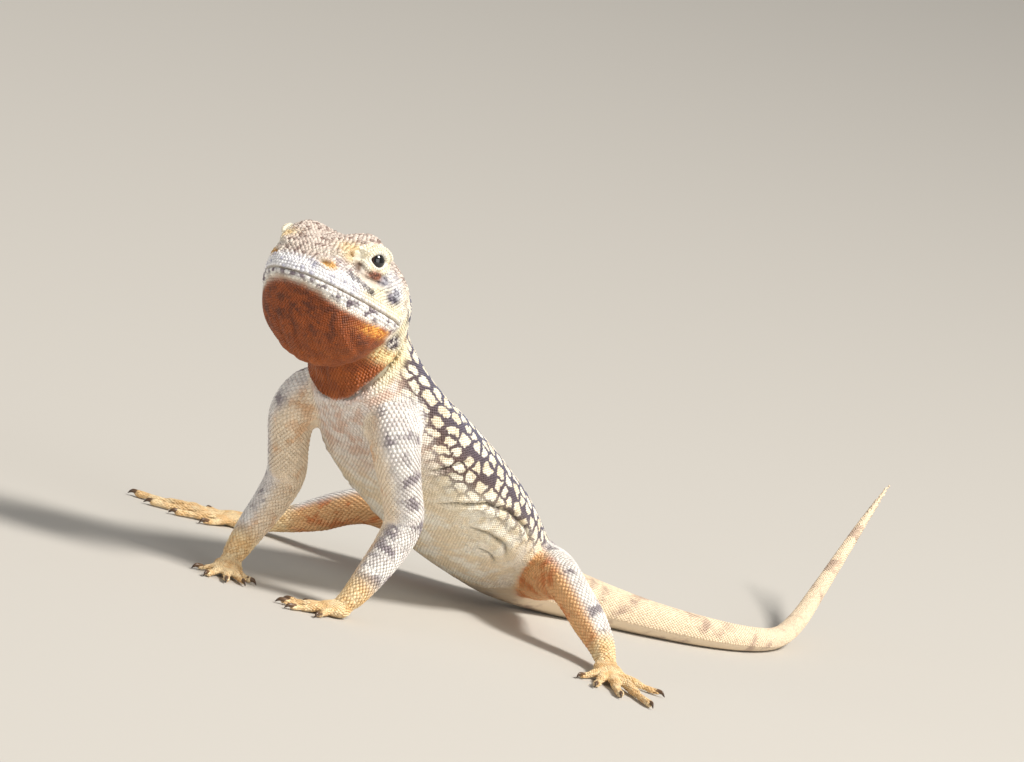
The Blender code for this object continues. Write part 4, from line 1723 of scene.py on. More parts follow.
    def build(
        self, name: str, lots: list[tuple[Roots, ScaleKind, float]], placement: Placement, wild: float = 1.0
    ) -> bpy.types.Object:
        """Makes the joined scales of one part.

        Args:
            name: The piece's name.
            lots: Roots with the kind and height of their scales.
            placement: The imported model's frame.
            wild: How much more than usual the scales differ in size, turn and place.

        Returns:
            The piece, in the scene, with its map and the places of its roots.
        """
        points, faces, marks, patches, owners, offsets = [], [], [], [], [], []
        total = 0
        for roots, kind, height in lots:
            shape = kind.value
            corners = np.array(shape.corners)
            count = len(roots.points)
            size = 1 + self.random.uniform(-0.07, 0.07, (count, 1)) * wild
            spin = np.radians(self.random.normal(0, 4.0 * wild, count))
            lie = unit(roots.lie - roots.normals * np.sum(roots.lie * roots.normals, axis=1, keepdims=True))
            across = np.cross(lie, roots.normals)
            turned = lie * np.cos(spin)[:, None] + across * np.sin(spin)[:, None]
            across = np.cross(turned, roots.normals)
            drift = self.random.normal(0, 0.03 * wild, (count, 1))
            place = roots.points + across * drift * roots.width[:, None]
            wide = corners[None, :, 0] * (roots.width[:, None] * 0.5 * size)
            long = corners[None, :, 1] * (roots.length[:, None] * 0.5 * size)
            tall = corners[None, :, 2] * height * self.random.uniform(0.85, 1.15, (count, 1))
            made = place[:, None] + wide[..., None] * across[:, None] + long[..., None] * turned[:, None]
            made = made + tall[..., None] * roots.normals[:, None]
            points.append(made.reshape(-1, 3))
            offsets.append(np.stack([long, wide, np.zeros_like(long)], axis=-1).reshape(-1, 3))
            grid = np.array(shape.faces)[None] + (np.arange(count) * len(corners))[:, None, None] + total
            faces.append(grid.reshape(-1, 3))
            flat = roots.unwrapped[:, None] * 0.98 + 0.01 + corners[None, :, :2] * self.patch * 0.5
            patches.append(flat.reshape(-1, 2))
            before = sum(len(item.points) for item in marks)
            owners.append(np.repeat(np.arange(count), len(corners)) + before)
            marks.append(roots)
            total += count * len(corners)
        all_faces = np.concatenate(faces)
        piece = piece_from(name, placement.metres(np.concatenate(points)), all_faces)
        layer = piece.data.uv_layers.new(name="OFBake")
        flat = np.concatenate(patches)[all_faces.ravel()]
        layer.data.foreach_set("uv", flat.astype(np.float32).ravel())
        owner = np.concatenate(owners)
        roots_all = Roots.joined(marks)
        tone = self.random.normal(0, 1, len(roots_all.points))
        store_marks(piece, self.hide, roots_all, owner, tone, np.concatenate(offsets))
        return piece


def store_marks(
    piece: bpy.types.Object,
    hide: Hide,
    roots: Roots,
    owner: Array | None,
    tone: Array,
    offsets: Array | None = None,
) -> None:
    """Stores on a piece where each of its points lies on the animal, for its markings.

    Args:
        piece: The skin or a piece of scales.
        hide: The skin's forms.
        roots: The skin's points or the scales' roots, in millimetres.
        owner: For scales, the number of the root of each vertex.
        tone: How light each place is against its neighbours.
        offsets: For scales, how far along and round the body each vertex lies from its root.
    """
    marks = Markings(hide).read(roots.points, roots.normals)
    marks["tone"] = tone
    for name, values in marks.items():
        vector = values.ndim == 2
        spread = values if owner is None else values[owner]
        if name == "trunk_place" and offsets is not None:
            spread = spread + offsets
        layer = piece.data.attributes.new(name, "FLOAT_VECTOR" if vector else "FLOAT", "POINT")
        layer.data.foreach_set("vector" if vector else "value", spread.astype(np.float32).ravel())


# Spots of the face: the middle of each (back, out, up), how far it reaches, and how strong it is.
FACE_PLACES: dict[str, tuple[Triple, Triple, float]] = {
    "snout_side": ((4.6, 6.4, 2.6), (2.6, 3.0, 1.2), 1.5),
    "cheek_cream": ((10.6, 9.8, -0.5), (2.6, 3.0, 1.4), 1.5),
    "cheek_rear": ((15.4, 10.8, -1.9), (2.1, 3.0, 1.1), 1.8),
    "behind_eye": ((15.4, 9.2, 3.0), (2.8, 3.0, 2.0), 1.8),
    "blue_cheek": ((11.6, 9.7, 2.0), (1.7, 2.6, 0.8), 1.7),
    "temple": ((14.4, 10.4, -0.1), (1.5, 2.8, 0.75), 2.0),
    "temple_beads": ((15.6, 10.2, 0.9), (1.2, 2.8, 0.7), 1.8),
    "lore": ((5.6, 6.4, 4.9), (1.5, 2.2, 1.5), 1.8),
    "lore_spot": ((5.4, 6.6, 4.6), (0.5, 1.6, 0.4), 1.2),
    "eye_front": ((6.6, 8.0, 3.3), (0.6, 2.0, 0.95), 1.8),
    "under_eye": ((9.5, 9.3, 2.4), (1.25, 2.6, 0.62), 2.0),
    "cheek_mark": ((9.4, 9.6, -0.2), (0.42, 2.0, 0.42), 1.8),
    "jaw_corner": ((13.0, 10.0, -5.8), (3.0, 3.0, 0.8), 1.8),
    "nostril": ((2.3, 5.2, 1.95), (0.85, 1.8, 0.5), 1.8),
    "neck_stripes": ((21.4, 8.0, -6.3), (1.8, 3.0, 1.2), 1.8),
    "neck_beads": ((21.2, 7.4, -8.4), (2.8, 3.0, 1.3), 1.8),
}


@dataclass
class Markings:
    """Where each colour of the animal lies, and where shade and warm bounce light are painted on it, as soft
    masks worked out from places on head, body and legs.
    """

    hide: Hide

    def read(self, points: Array, normals: Array) -> dict[str, Array]:
        """Works out every mask.

        Args:
            points: Places in millimetres.
            normals: The outward direction at each.

        Returns:
            The masks by name, and the places that patterns are drawn in.
        """
        place = self.hide.survey.read(points)
        head = place["head"]
        joint, forward, _ = self.hide.skull.joint_frame()
        ahead = (points - joint) @ forward
        leg = step(0.9, -0.5, place["leg_gap"] - place["trunk_gap"])
        on_head = step(-1.2, 1.2, ahead) * (1 - leg) * (head[:, 2] > -18)
        along, turned = place["along"], np.abs(place["angle"])
        arc = place["angle"] * place["girth"] / 360
        up = normals @ UP
        gap = self.hide.mouth_gap(head)
        back = head[:, 0]
        mouth = step(19.0, 16.5, back)
        lowest = np.interp(along, (6, 12, 26, 36, 50, 70), (112, 124, 122, 108, 100, 95))
        net = step(lowest + 14, lowest - 14, turned) * step(78, 58, along)
        fold_along, fold_turn = zip(*GULAR_FOLD.places)
        fold_at = np.interp(turned, fold_turn, fold_along)
        throat_top = -1.4 - 1.1 * step(0.0, 6.0, back)
        throat_top = throat_top - 0.5 * step(12.0, 18.0, back) - 2.6 * step(17.0, 21.0, back)
        throat = np.maximum(
            step(throat_top + 0.5, throat_top - 0.7, gap) * step(-2.5, -1.0, ahead),
            step(112, 124, turned) * step(fold_at + 0.3, fold_at - 0.9, along) * step(1.5, -0.5, ahead),
        ) * (1 - leg)
        finer = arc + 0.4 * np.sign(arc) * np.maximum(np.abs(arc) - 7, 0)
        line_gaps = [gap - (4.75 - 0.28 * back), gap - (4.15 - 0.26 * back)]
        cheek_lines = sum(np.exp(-((line / 0.20) ** 2)) for line in line_gaps)
        cheek_lines = np.clip(cheek_lines, 0, 1) * step(3.8, 5.0, back) * step(9.8, 8.6, back)
        leg_place = (place["leg_along"], place["leg_angle"] / 360 * 18, place["leg"] * 40)
        marks = {
            "root": points,
            "trunk_place": np.stack([along, finer, np.zeros(len(arc))], axis=1),
            "turned": turned,
            "leg_place": np.stack(leg_place, axis=1),
            "leg": leg,
            "head": on_head,
            "net": net,
            "spine_stripe": step(1.15, 0.55, np.abs(arc)) * step(1.0, 4.0, along) * step(80, 50, along),
            "belly": step(116, 140, turned) * (1 - leg),
            # the chest: its own pale colour with a painted warm bounce light, as from a reddish ground below
            "chest": step(100, 126, turned) * step(30, 16, along) * step(5, 10, along) * (1 - leg),
            "tail": step(58, 74, along) * (1 - leg),
            "outer": step(-0.4, 0.3, place["outer"]),
            "front_leg": (place["leg"] % 2 == 0).astype(float),
            "toes": step(32.5, 36.5, place["leg_along"]) * leg,
            "crown": step(0.30, 0.70, up) * step(1.0, 3.0, head[:, 2]) * on_head,
            "upper_lip": step(0.05, 0.3, gap) * step(3.6, 2.0, gap) * mouth * on_head,
            "lower_lip": step(0.0, -0.2, gap)
            * step(throat_top - 0.1, throat_top + 1.0, gap)
            * mouth
            * on_head,
            "throat": throat,
            # the throat's upper part: its own dark mottling, darkened further as painted shade under the jaw
            "throat_top": throat * step(-13.0, -7.0, head[:, 2]) * on_head,
            "neck_side": step(-2.0, 1.0, along)
            * step(fold_at + 2.6, fold_at + 0.8, along)
            * step(72, 92, turned)
            * step(150, 126, turned)
            * (1 - leg),
            # painted shade inside the nostrils
            "nostril_hole": bell(head, self.hide.skull.nostril, (0.30, 1.4, 0.22)) * on_head,
            # painted shade in the pit of the ear
            "ear_hole": np.clip(1.5 * bell(head, self.hide.skull.ear, (0.7, 2.2, 1.1)), 0, 1),
            # painted shade in the seam of the closed mouth, over the groove cut there
            "mouth_line": np.exp(-((gap / 0.12) ** 2)) * step(18.6, 17.4, back) * on_head,
            "cheek_lines": cheek_lines * on_head,
        }
        for name, (middle, sizes, strength) in FACE_PLACES.items():
            marks[name] = np.clip(strength * bell(head, middle, sizes), 0, 1) * (1 - leg)
        lids = np.zeros(len(points))
        rim = np.zeros(len(points))
        for eye in self.hide.eyes:
            aim, way_along, over = eye.frame()
            offset = points - eye.centre()
            way = unit(offset) * (eye.radius + 0.2)
            near = (np.linalg.norm(offset, axis=1) < 4.5) & (way @ aim > 0.3)
            share = eye.opening_share(way @ way_along, way @ over)
            reach = 1.75 + 0.75 * step(-0.5, 0.4, way @ over)
            lids = np.maximum(lids, near * step(reach + 0.2, reach - 0.2, share))
            rim = np.maximum(rim, near * step(1.28, 1.12, share))
        marks["lids"] = lids
        marks["lid_rim"] = rim
        upper = step(-0.6, 0.8, head[:, 2] - self.hide.eyes[0].place[2]) * step(12.8, 11.0, back)
        marks["upper_lid"] = lids * upper
        # painted shade: how deep the creases of the folds are, which darkens the colour there
        creases = sum(
            np.clip(-fold.relief(along, place["angle"], place["girth"]) / fold.depth, 0, 1)
            for fold in self.hide.folds
        )
        marks["crease"] = np.clip(creases, 0, 1) * (1 - leg) * (1 - on_head)
        return marks


@dataclass(frozen=True)
class ColourPatch:
    """A region's two colours and the size in millimetres of the soft patches that they make."""

    mask: str
    light: str
    dark: str
    grain: float
    balance: float = 0.5  # where the patches turn from light to dark
    strength: float = 1.0
    blur: float = 0.09  # how softly they turn


@dataclass(frozen=True)
class HideFinish:
    """Dry lizard hide: keratin scales over thin skin, cream with a dark net, satin and never wet."""

    ground: ColourPatch = ColourPatch("", "#FAF4E4", "#F2E5CA", 2.4)
    net_brown: str = "#65504A"
    net_blue: str = "#60637C"
    blue_turn: tuple[float, float] = (104.0, 64.0)  # degrees from the back between which brown turns to blue
    cell: tuple[float, float] = (3.0, 2.45)  # the net's meshes along and round the body in millimetres
    disorder: float = 0.56  # how far the meshes stray from even rows
    spots: tuple[float, float] = (0.76, 0.60)  # radius of the pale spots in a mesh, from wide to narrow
    spot_loss: float = -0.22  # how much smaller they are where the net is strongest
    thread: tuple[float, float] = (-0.9, 0.115)  # fall and width of the net's line between two meshes
    thread_blend: float = 0.06
    net_edge: tuple[float, float] = (-0.035, 0.045)  # between which values the net's edge turns dark
    band: float = 5.2  # distance between the dark marks of a leg
    band_edge: tuple[float, float] = (0.53, 0.61)
    leg_pale: ColourPatch = ColourPatch("", "#F3F0EB", "#E0DAD6", 2.2)
    # warm inner sides of the legs: partly their own colour, partly a painted warm bounce light on the sides
    # turned down and in
    leg_inner: ColourPatch = ColourPatch("", "#F1E0C8", "#E3C09C", 3.0, 0.6)
    leg_orange: ColourPatch = ColourPatch("", "#F0C08A", "#DD8F58", 3.0, 0.55)
    leg_mark: str = "#7E727C"
    toes: ColourPatch = ColourPatch("toes", "#F6DEB2", "#E9C48E", 2.0)
    face: ColourPatch = ColourPatch("", "#F6EFDF", "#E0D3BF", 1.8)
    tone: float = 0.06  # how far one scale's lightness differs from the next one's
    crease_shade: float = -0.45
    ior: float = 1.5
    patches: tuple[ColourPatch, ...] = (
        ColourPatch("spine_stripe", "#E6E4E2", "#A9B0C6", 2.5, 0.55),
        ColourPatch("belly", "#FAF4E6", "#F0DFC2", 4.0),
        # the chest's pale colour, warmed in its darker patches by a painted warm bounce light
        ColourPatch("chest", "#EFE6DE", "#DCC0AE", 3.0),
        ColourPatch("neck_side", "#F4EBCC", "#CFB085", 1.6, 0.62),
        ColourPatch("tail", "#F1DCBE", "#BFA692", 4.5, 0.6),
    )
    head_patches: tuple[ColourPatch, ...] = (
        ColourPatch("snout_side", "#E6DEDA", "#A5959A", 0.8, 0.55),
        ColourPatch("crown", "#DED0C4", "#8B736A", 0.8, 0.55, 1.0, 0.08),
        ColourPatch("upper_lip", "#F6F5F6", "#BDBCCB", 1.0, 0.58),
        ColourPatch("cheek_cream", "#F8EFD6", "#EADBBC", 1.2, 0.55),
        ColourPatch("cheek_rear", "#F9F0D6", "#EDDDB4", 1.2, 0.55),
        ColourPatch("behind_eye", "#E3E0DE", "#A09AA2", 0.9, 0.56),
        ColourPatch("cheek_lines", "#6E686E", "#524C54", 0.9, 0.5, 0.9),
        ColourPatch("blue_cheek", "#B9B9C2", "#74717E", 0.9, 0.50, 0.95),
        ColourPatch("temple", "#8D8790", "#453F4B", 0.8, 0.46),
        ColourPatch("temple_beads", "#EDF0F6", "#77747F", 0.6, 0.53),
        ColourPatch("lore", "#EAD6B0", "#D6BA8C", 1.0),
        ColourPatch("lore_spot", "#AE8A5C", "#9C7A50", 1.0),
        ColourPatch("lower_lip", "#F8F6F2", "#7C7078", 1.4, 0.52, 1.0, 0.07),
        ColourPatch("throat", "#A5561F", "#8C4518", 2.4, 0.5, 1.0, 0.16),
        # upper throat: its own mottling with painted shade under the jaw
        ColourPatch("throat_top", "#9A4C1D", "#5B2D1B", 1.5, 0.54, 0.8, 0.12),
        ColourPatch("jaw_corner", "#F3AE52", "#B4611F", 0.6),
        ColourPatch("neck_beads", "#F6E3AC", "#C58E50", 0.55, 0.54),
        ColourPatch("neck_stripes", "#D9D3CC", "#4A4046", 0.7, 0.48, 1.0, 0.05),
        ColourPatch("lids", "#F8F1DE", "#E8D9B6", 1.2, 0.56),
        ColourPatch("upper_lid", "#FFF7E0", "#F8EAC8", 1.2, 0.56),
        ColourPatch("eye_front", "#7C6350", "#5B4538", 0.7, 0.5, 0.95),
        ColourPatch("under_eye", "#9A5A40", "#6B3B2B", 0.8, 0.5, 0.95),
        ColourPatch("cheek_mark", "#4F474B", "#3A3236", 0.8, 0.5, 0.9),
        ColourPatch("lid_rim", "#FCF8EA", "#F4ECD2", 1.0),
        ColourPatch("nostril", "#EFC57C", "#D39A50", 0.5, 0.5, 0.95),
        # painted shade inside the nostril
        ColourPatch("nostril_hole", "#3A2216", "#2A1810", 1.0, 0.5, 0.9),
        # painted shade in the seam of the closed mouth
        ColourPatch("mouth_line", "#5A4A46", "#C4BAB6", 0.9, 0.58, 0.75),
        # painted shade in the pit of the ear
        ColourPatch("ear_hole", "#4F4038", "#2E2420", 1.0, 0.5, 0.9),
    )

    def paint(
        self, tree: bpy.types.NodeTree, under: bpy.types.NodeSocket | None, patch: ColourPatch
    ) -> bpy.types.NodeSocket:
        """Lays a region's two colours over what lies under them.

        Args:
            tree: The node tree.
            under: The colour so far, or None for a ground.
            patch: The region and its colours.

        Returns:
            The colour with the region on it.
        """
        root = add_node(tree, "ShaderNodeAttribute", {"attribute_name": "root"})
        settings = {"Scale": 1 / patch.grain, "Detail": 3.0, "Roughness": 0.6}
        noise = add_node(tree, "ShaderNodeTexNoise", settings, {"Vector": root.outputs["Vector"]})
        low, high = patch.balance - patch.blur, patch.balance + patch.blur
        limits = {"interpolation_type": "SMOOTHSTEP", "From Min": low, "From Max": high}
        share = add_node(tree, "ShaderNodeMapRange", limits, {"Value": noise.outputs["Fac"]})
        colours = {"data_type": "RGBA", 6: linear(patch.light), 7: linear(patch.dark)}
        own = add_node(tree, "ShaderNodeMix", colours, {0: share.outputs["Result"]})
        if not patch.mask:
            return own.outputs[2]
        mask = add_node(tree, "ShaderNodeAttribute", {"attribute_name": patch.mask})
        strength = {"operation": "MULTIPLY", 1: patch.strength}
        scaled = add_node(tree, "ShaderNodeMath", strength, {0: mask.outputs["Fac"]})
        links = {0: scaled.outputs[0], 6: under, 7: own.outputs[2]}
        return add_node(tree, "ShaderNodeMix", {"data_type": "RGBA"}, links).outputs[2]

    def draw_net(self, tree: bpy.types.NodeTree, under: bpy.types.NodeSocket) -> bpy.types.NodeSocket:
        """Draws the dark net round pale spots on back and flanks.

        Args:
            tree: The node tree.
            under: The colour so far.

        Returns:
            The colour with the net on it.
        """
        place = add_node(tree, "ShaderNodeAttribute", {"attribute_name": "trunk_place"})
        shake = add_node(
            tree, "ShaderNodeTexNoise", {"Scale": 0.55, "Detail": 2.0}, {"Vector": place.outputs["Vector"]}
        )
        centred = add_node(
            tree,
            "ShaderNodeVectorMath",
            {"operation": "MULTIPLY_ADD", 1: (2.0, 2.0, 0.0), 2: (-1.0, -1.0, 0.0)},
            {0: shake.outputs["Color"]},
        )
        moved = add_node(
            tree,
            "ShaderNodeVectorMath",
            {"operation": "ADD"},
            {0: place.outputs["Vector"], 1: centred.outputs["Vector"]},
        )
        scaled = add_node(
            tree,
            "ShaderNodeVectorMath",
            {"operation": "MULTIPLY", 1: (1 / self.cell[0], 1 / self.cell[1], 0.0)},
            {0: moved.outputs["Vector"]},
        )
        cells, borders = (
            add_node(
                tree,
                "ShaderNodeTexVoronoi",
                {"feature": feature, "voronoi_dimensions": "2D", "Scale": 1.0, "Randomness": self.disorder},
                {"Vector": scaled.outputs["Vector"]},
            )
            for feature in ("F1", "DISTANCE_TO_EDGE")
        )
        mask = add_node(tree, "ShaderNodeAttribute", {"attribute_name": "net"})
        patchy = add_node(
            tree, "ShaderNodeTexNoise", {"Scale": 0.28, "Detail": 3.0}, {"Vector": place.outputs["Vector"]}
        )
        radii = {"From Min": 0.34, "From Max": 0.66, "To Min": self.spots[0], "To Max": self.spots[1]}
        wide = add_node(tree, "ShaderNodeMapRange", radii, {"Value": patchy.outputs["Fac"]})
        loss = {"operation": "MULTIPLY_ADD", 1: self.spot_loss}
        links = {0: mask.outputs["Fac"], 2: wide.outputs["Result"]}
        thinner = add_node(tree, "ShaderNodeMath", loss, links)
        links = {0: cells.outputs["Distance"], 1: thinner.outputs[0]}
        inner = add_node(tree, "ShaderNodeMath", {"operation": "SUBTRACT"}, links)
        thread = {"operation": "MULTIPLY_ADD", 1: self.thread[0], 2: self.thread[1]}
        edge = add_node(tree, "ShaderNodeMath", thread, {0: borders.outputs["Distance"]})
        joined = {"operation": "SMOOTH_MAX", 2: self.thread_blend}
        either = add_node(tree, "ShaderNodeMath", joined, {0: inner.outputs[0], 1: edge.outputs[0]})
        low, high = self.net_edge
        limits = {"interpolation_type": "SMOOTHSTEP", "From Min": low, "From Max": high}
        line = add_node(tree, "ShaderNodeMapRange", limits, {"Value": either.outputs[0]})
        links = {0: line.outputs["Result"], 1: mask.outputs["Fac"]}
        strength = add_node(tree, "ShaderNodeMath", {"operation": "MULTIPLY"}, links)
        turned = add_node(tree, "ShaderNodeAttribute", {"attribute_name": "turned"})
        limits = {"From Min": self.blue_turn[0], "From Max": self.blue_turn[1]}
        near_spine = add_node(tree, "ShaderNodeMapRange", limits, {"Value": turned.outputs["Fac"]})
        tint = add_node(
            tree,
            "ShaderNodeMix",
            {"data_type": "RGBA", 6: linear(self.net_brown), 7: linear(self.net_blue)},
            {0: near_spine.outputs["Result"]},
        )
        links = {0: strength.outputs[0], 6: under, 7: tint.outputs[2]}
        return add_node(tree, "ShaderNodeMix", {"data_type": "RGBA"}, links).outputs[2]

    def legs(self, tree: bpy.types.NodeTree) -> bpy.types.NodeSocket:
        """Colours the legs: pale outside and warm inside, the warmth partly their own colour and partly a
        painted warm bounce light on the sides turned down and in, with dark marks across them and warm toes.

        Args:
            tree: The node tree.

        Returns:
            The colour.
        """
        pale = self.paint(tree, None, self.leg_pale)
        inner = self.paint(tree, None, self.leg_inner)
        orange = self.paint(tree, None, self.leg_orange)
        front = add_node(tree, "ShaderNodeAttribute", {"attribute_name": "front_leg"})
        links = {0: front.outputs["Fac"], 6: orange, 7: inner}
        warm = add_node(tree, "ShaderNodeMix", {"data_type": "RGBA"}, links)
        outer = add_node(tree, "ShaderNodeAttribute", {"attribute_name": "outer"})
        links = {0: outer.outputs["Fac"], 6: warm.outputs[2], 7: pale}
        base = add_node(tree, "ShaderNodeMix", {"data_type": "RGBA"}, links)
        place = add_node(tree, "ShaderNodeAttribute", {"attribute_name": "leg_place"})
        bands = add_node(
            tree,
            "ShaderNodeVectorMath",
            {"operation": "MULTIPLY", 1: (1 / self.band, 0.10, 0.11)},
            {0: place.outputs["Vector"]},
        )
        blot = add_node(
            tree, "ShaderNodeTexNoise", {"Scale": 1.9, "Detail": 3.0, "Roughness": 0.55},
            {"Vector": bands.outputs["Vector"]},
        )
        low, high = self.band_edge
        limits = {"interpolation_type": "SMOOTHSTEP", "From Min": low, "From Max": high}
        dark = add_node(tree, "ShaderNodeMapRange", limits, {"Value": blot.outputs["Fac"]})
        links = {0: dark.outputs["Result"], 1: outer.outputs["Fac"]}
        share = add_node(tree, "ShaderNodeMath", {"operation": "MULTIPLY"}, links)
        softer = add_node(tree, "ShaderNodeMath", {"operation": "MULTIPLY", 1: 0.8}, {0: share.outputs[0]})
        mark = {"data_type": "RGBA", 7: linear(self.leg_mark)}
        banded = add_node(tree, "ShaderNodeMix", mark, {0: softer.outputs[0], 6: base.outputs[2]})
        return self.paint(tree, banded.outputs[2], self.toes)

    def material(self, name: str, lift: float, roughness: float) -> bpy.types.Material:
        """Makes the hide's material.

        Args:
            name: Its name.
            lift: How much lighter than the markings it is, against the skin between scales.
            roughness: Its roughness.

        Returns:
            The material.
        """
        made = bpy.data.materials.new(name)
        made.use_nodes = True
        tree = made.node_tree
        shader = tree.nodes["Principled BSDF"]
        trunk = self.draw_net(tree, self.paint(tree, None, self.ground))
        for patch in self.patches:
            trunk = self.paint(tree, trunk, patch)
        leg = add_node(tree, "ShaderNodeAttribute", {"attribute_name": "leg"})
        links = {0: leg.outputs["Fac"], 6: trunk, 7: self.legs(tree)}
        body = add_node(tree, "ShaderNodeMix", {"data_type": "RGBA"}, links)
        head = add_node(tree, "ShaderNodeAttribute", {"attribute_name": "head"})
        links = {0: head.outputs["Fac"], 6: body.outputs[2], 7: self.paint(tree, None, self.face)}
        colour = add_node(tree, "ShaderNodeMix", {"data_type": "RGBA"}, links).outputs[2]
        for patch in self.head_patches:
            colour = self.paint(tree, colour, patch)
        tone = add_node(tree, "ShaderNodeAttribute", {"attribute_name": "tone"})
        shades = {"operation": "MULTIPLY_ADD", 1: self.tone, 2: lift}
        value = add_node(tree, "ShaderNodeMath", shades, {0: tone.outputs["Fac"]})
        # painted shade in the creases of the folds
        crease = add_node(tree, "ShaderNodeAttribute", {"attribute_name": "crease"})
        shades = {"operation": "MULTIPLY_ADD", 1: self.crease_shade}
        links = {0: crease.outputs["Fac"], 2: value.outputs[0]}
        darker = add_node(tree, "ShaderNodeMath", shades, links)
        toned = add_node(tree, "ShaderNodeHueSaturation", {}, {"Color": colour, "Value": darker.outputs[0]})
        tree.links.new(toned.outputs["Color"], shader.inputs["Base Color"])
        shader.inputs["Roughness"].default_value = roughness
        shader.inputs["IOR"].default_value = self.ior
        where = add_node(tree, "ShaderNodeTexCoord")
        grain = add_node(
            tree, "ShaderNodeTexNoise", {"Scale": 9000.0, "Detail": 2.0}, {"Vector": where.outputs["Object"]}
        )
        bump = add_node(
            tree, "ShaderNodeBump", {"Strength": 0.25, "Distance": 0.00003}, {"Height": grain.outputs["Fac"]}
        )
        tree.links.new(bump.outputs["Normal"], shader.inputs["Normal"])
        return made


@dataclass(frozen=True)
class EyeFinish:
    """A wet eyeball: a dark brown iris, a thin copper ring round a black pupil, and a clear glossy front."""

    iris: str = "#170D08"
    ring: str = "#3E2412"
    pupil: str = "#020202"
    rim: str = "#1A0E0A"
    pupil_edge: float = 33.0  # degrees from the middle of the eye
    pupil_blur: float = 2.0
    ring_width: float = 8.0
    iris_edge: float = 62.0
    rim_edge: float = 68.0

    def material(self) -> bpy.types.Material:
        """Makes the eye's material from the angle that each point keeps.

        Returns:
            The material.
        """
        made = bpy.data.materials.new("wet_eye")
        made.use_nodes = True
        tree = made.node_tree
        shader = tree.nodes["Principled BSDF"]
        angle = add_node(tree, "ShaderNodeAttribute", {"attribute_name": "from_front"})
        ramp = add_node(tree, "ShaderNodeValToRGB")
        share = add_node(tree, "ShaderNodeMath", {"operation": "DIVIDE", 1: 90.0}, {0: angle.outputs["Fac"]})
        tree.links.new(share.outputs[0], ramp.inputs["Fac"])
        stops = ramp.color_ramp.elements
        stops[0].position, stops[0].color = (self.pupil_edge - self.pupil_blur) / 90, linear(self.pupil)
        stops[1].position, stops[1].color = self.pupil_edge / 90, linear(self.ring)
        outside = {
            self.pupil_edge + self.ring_width: self.iris,
            self.iris_edge: self.iris,
            self.rim_edge: self.rim,
        }
        for place, colour in outside.items():
            stops.new(place / 90).color = linear(colour)
        tree.links.new(ramp.outputs["Color"], shader.inputs["Base Color"])
        shader.inputs["Roughness"].default_value = 0.12
        shader.inputs["IOR"].default_value = 1.376
        shader.inputs["Coat Weight"].default_value = 1.0
        shader.inputs["Coat Roughness"].default_value = 0.03
        return made


@dataclass(frozen=True)
class ClawFinish:
    """Dark horn, lighter at the root, smooth and lightly polished by use."""

    root: str = "#7A5C40"
    tip: str = "#2B1C12"

    def material(self) -> bpy.types.Material:
        """Makes the claws' material, which darkens toward their points.

        Returns:
            The material.
        """
        made = bpy.data.materials.new("claw_horn")
        made.use_nodes = True
        tree = made.node_tree
        shader = tree.nodes["Principled BSDF"]
        share = add_node(tree, "ShaderNodeAttribute", {"attribute_name": "claw_share"})
        mix = add_node(
            tree,
            "ShaderNodeMix",
            {"data_type": "RGBA", 6: linear(self.root), 7: linear(self.tip)},
            {0: share.outputs["Fac"]},
        )
        tree.links.new(mix.outputs[2], shader.inputs["Base Color"])
        shader.inputs["Roughness"].default_value = 0.3
        shader.inputs["IOR"].default_value = 1.55
        return made


@dataclass(frozen=True)
class Lamp:
    """A soft square light: the way to it as shares of the camera's right, up and forward, and its sizes."""

    name: str
    way: Triple
    reach: float
    size: float
    power: float
    colour: str
    target: Triple = (0.0, 0.0, 0.03)

    def hang(self, axes: tuple[Array, Array, Array]) -> None:
        """Adds the light, turned to the animal.

        Args:
            axes: The camera's right, up and forward directions.
        """
        data = bpy.data.lights.new(self.name, "AREA")
        data.size = self.size
        data.energy = self.power
        data.color = linear(self.colour)[:3]
        lamp = bpy.data.objects.new(self.name, data)
        way = sum(share * axis for share, axis in zip(self.way, axes))
        target = Vector(self.target)
        lamp.location = target + Vector(unit(way)) * self.reach
        lamp.rotation_euler = (target - lamp.location).to_track_quat("-Z", "Y").to_euler()
        bpy.context.scene.collection.objects.link(lamp)


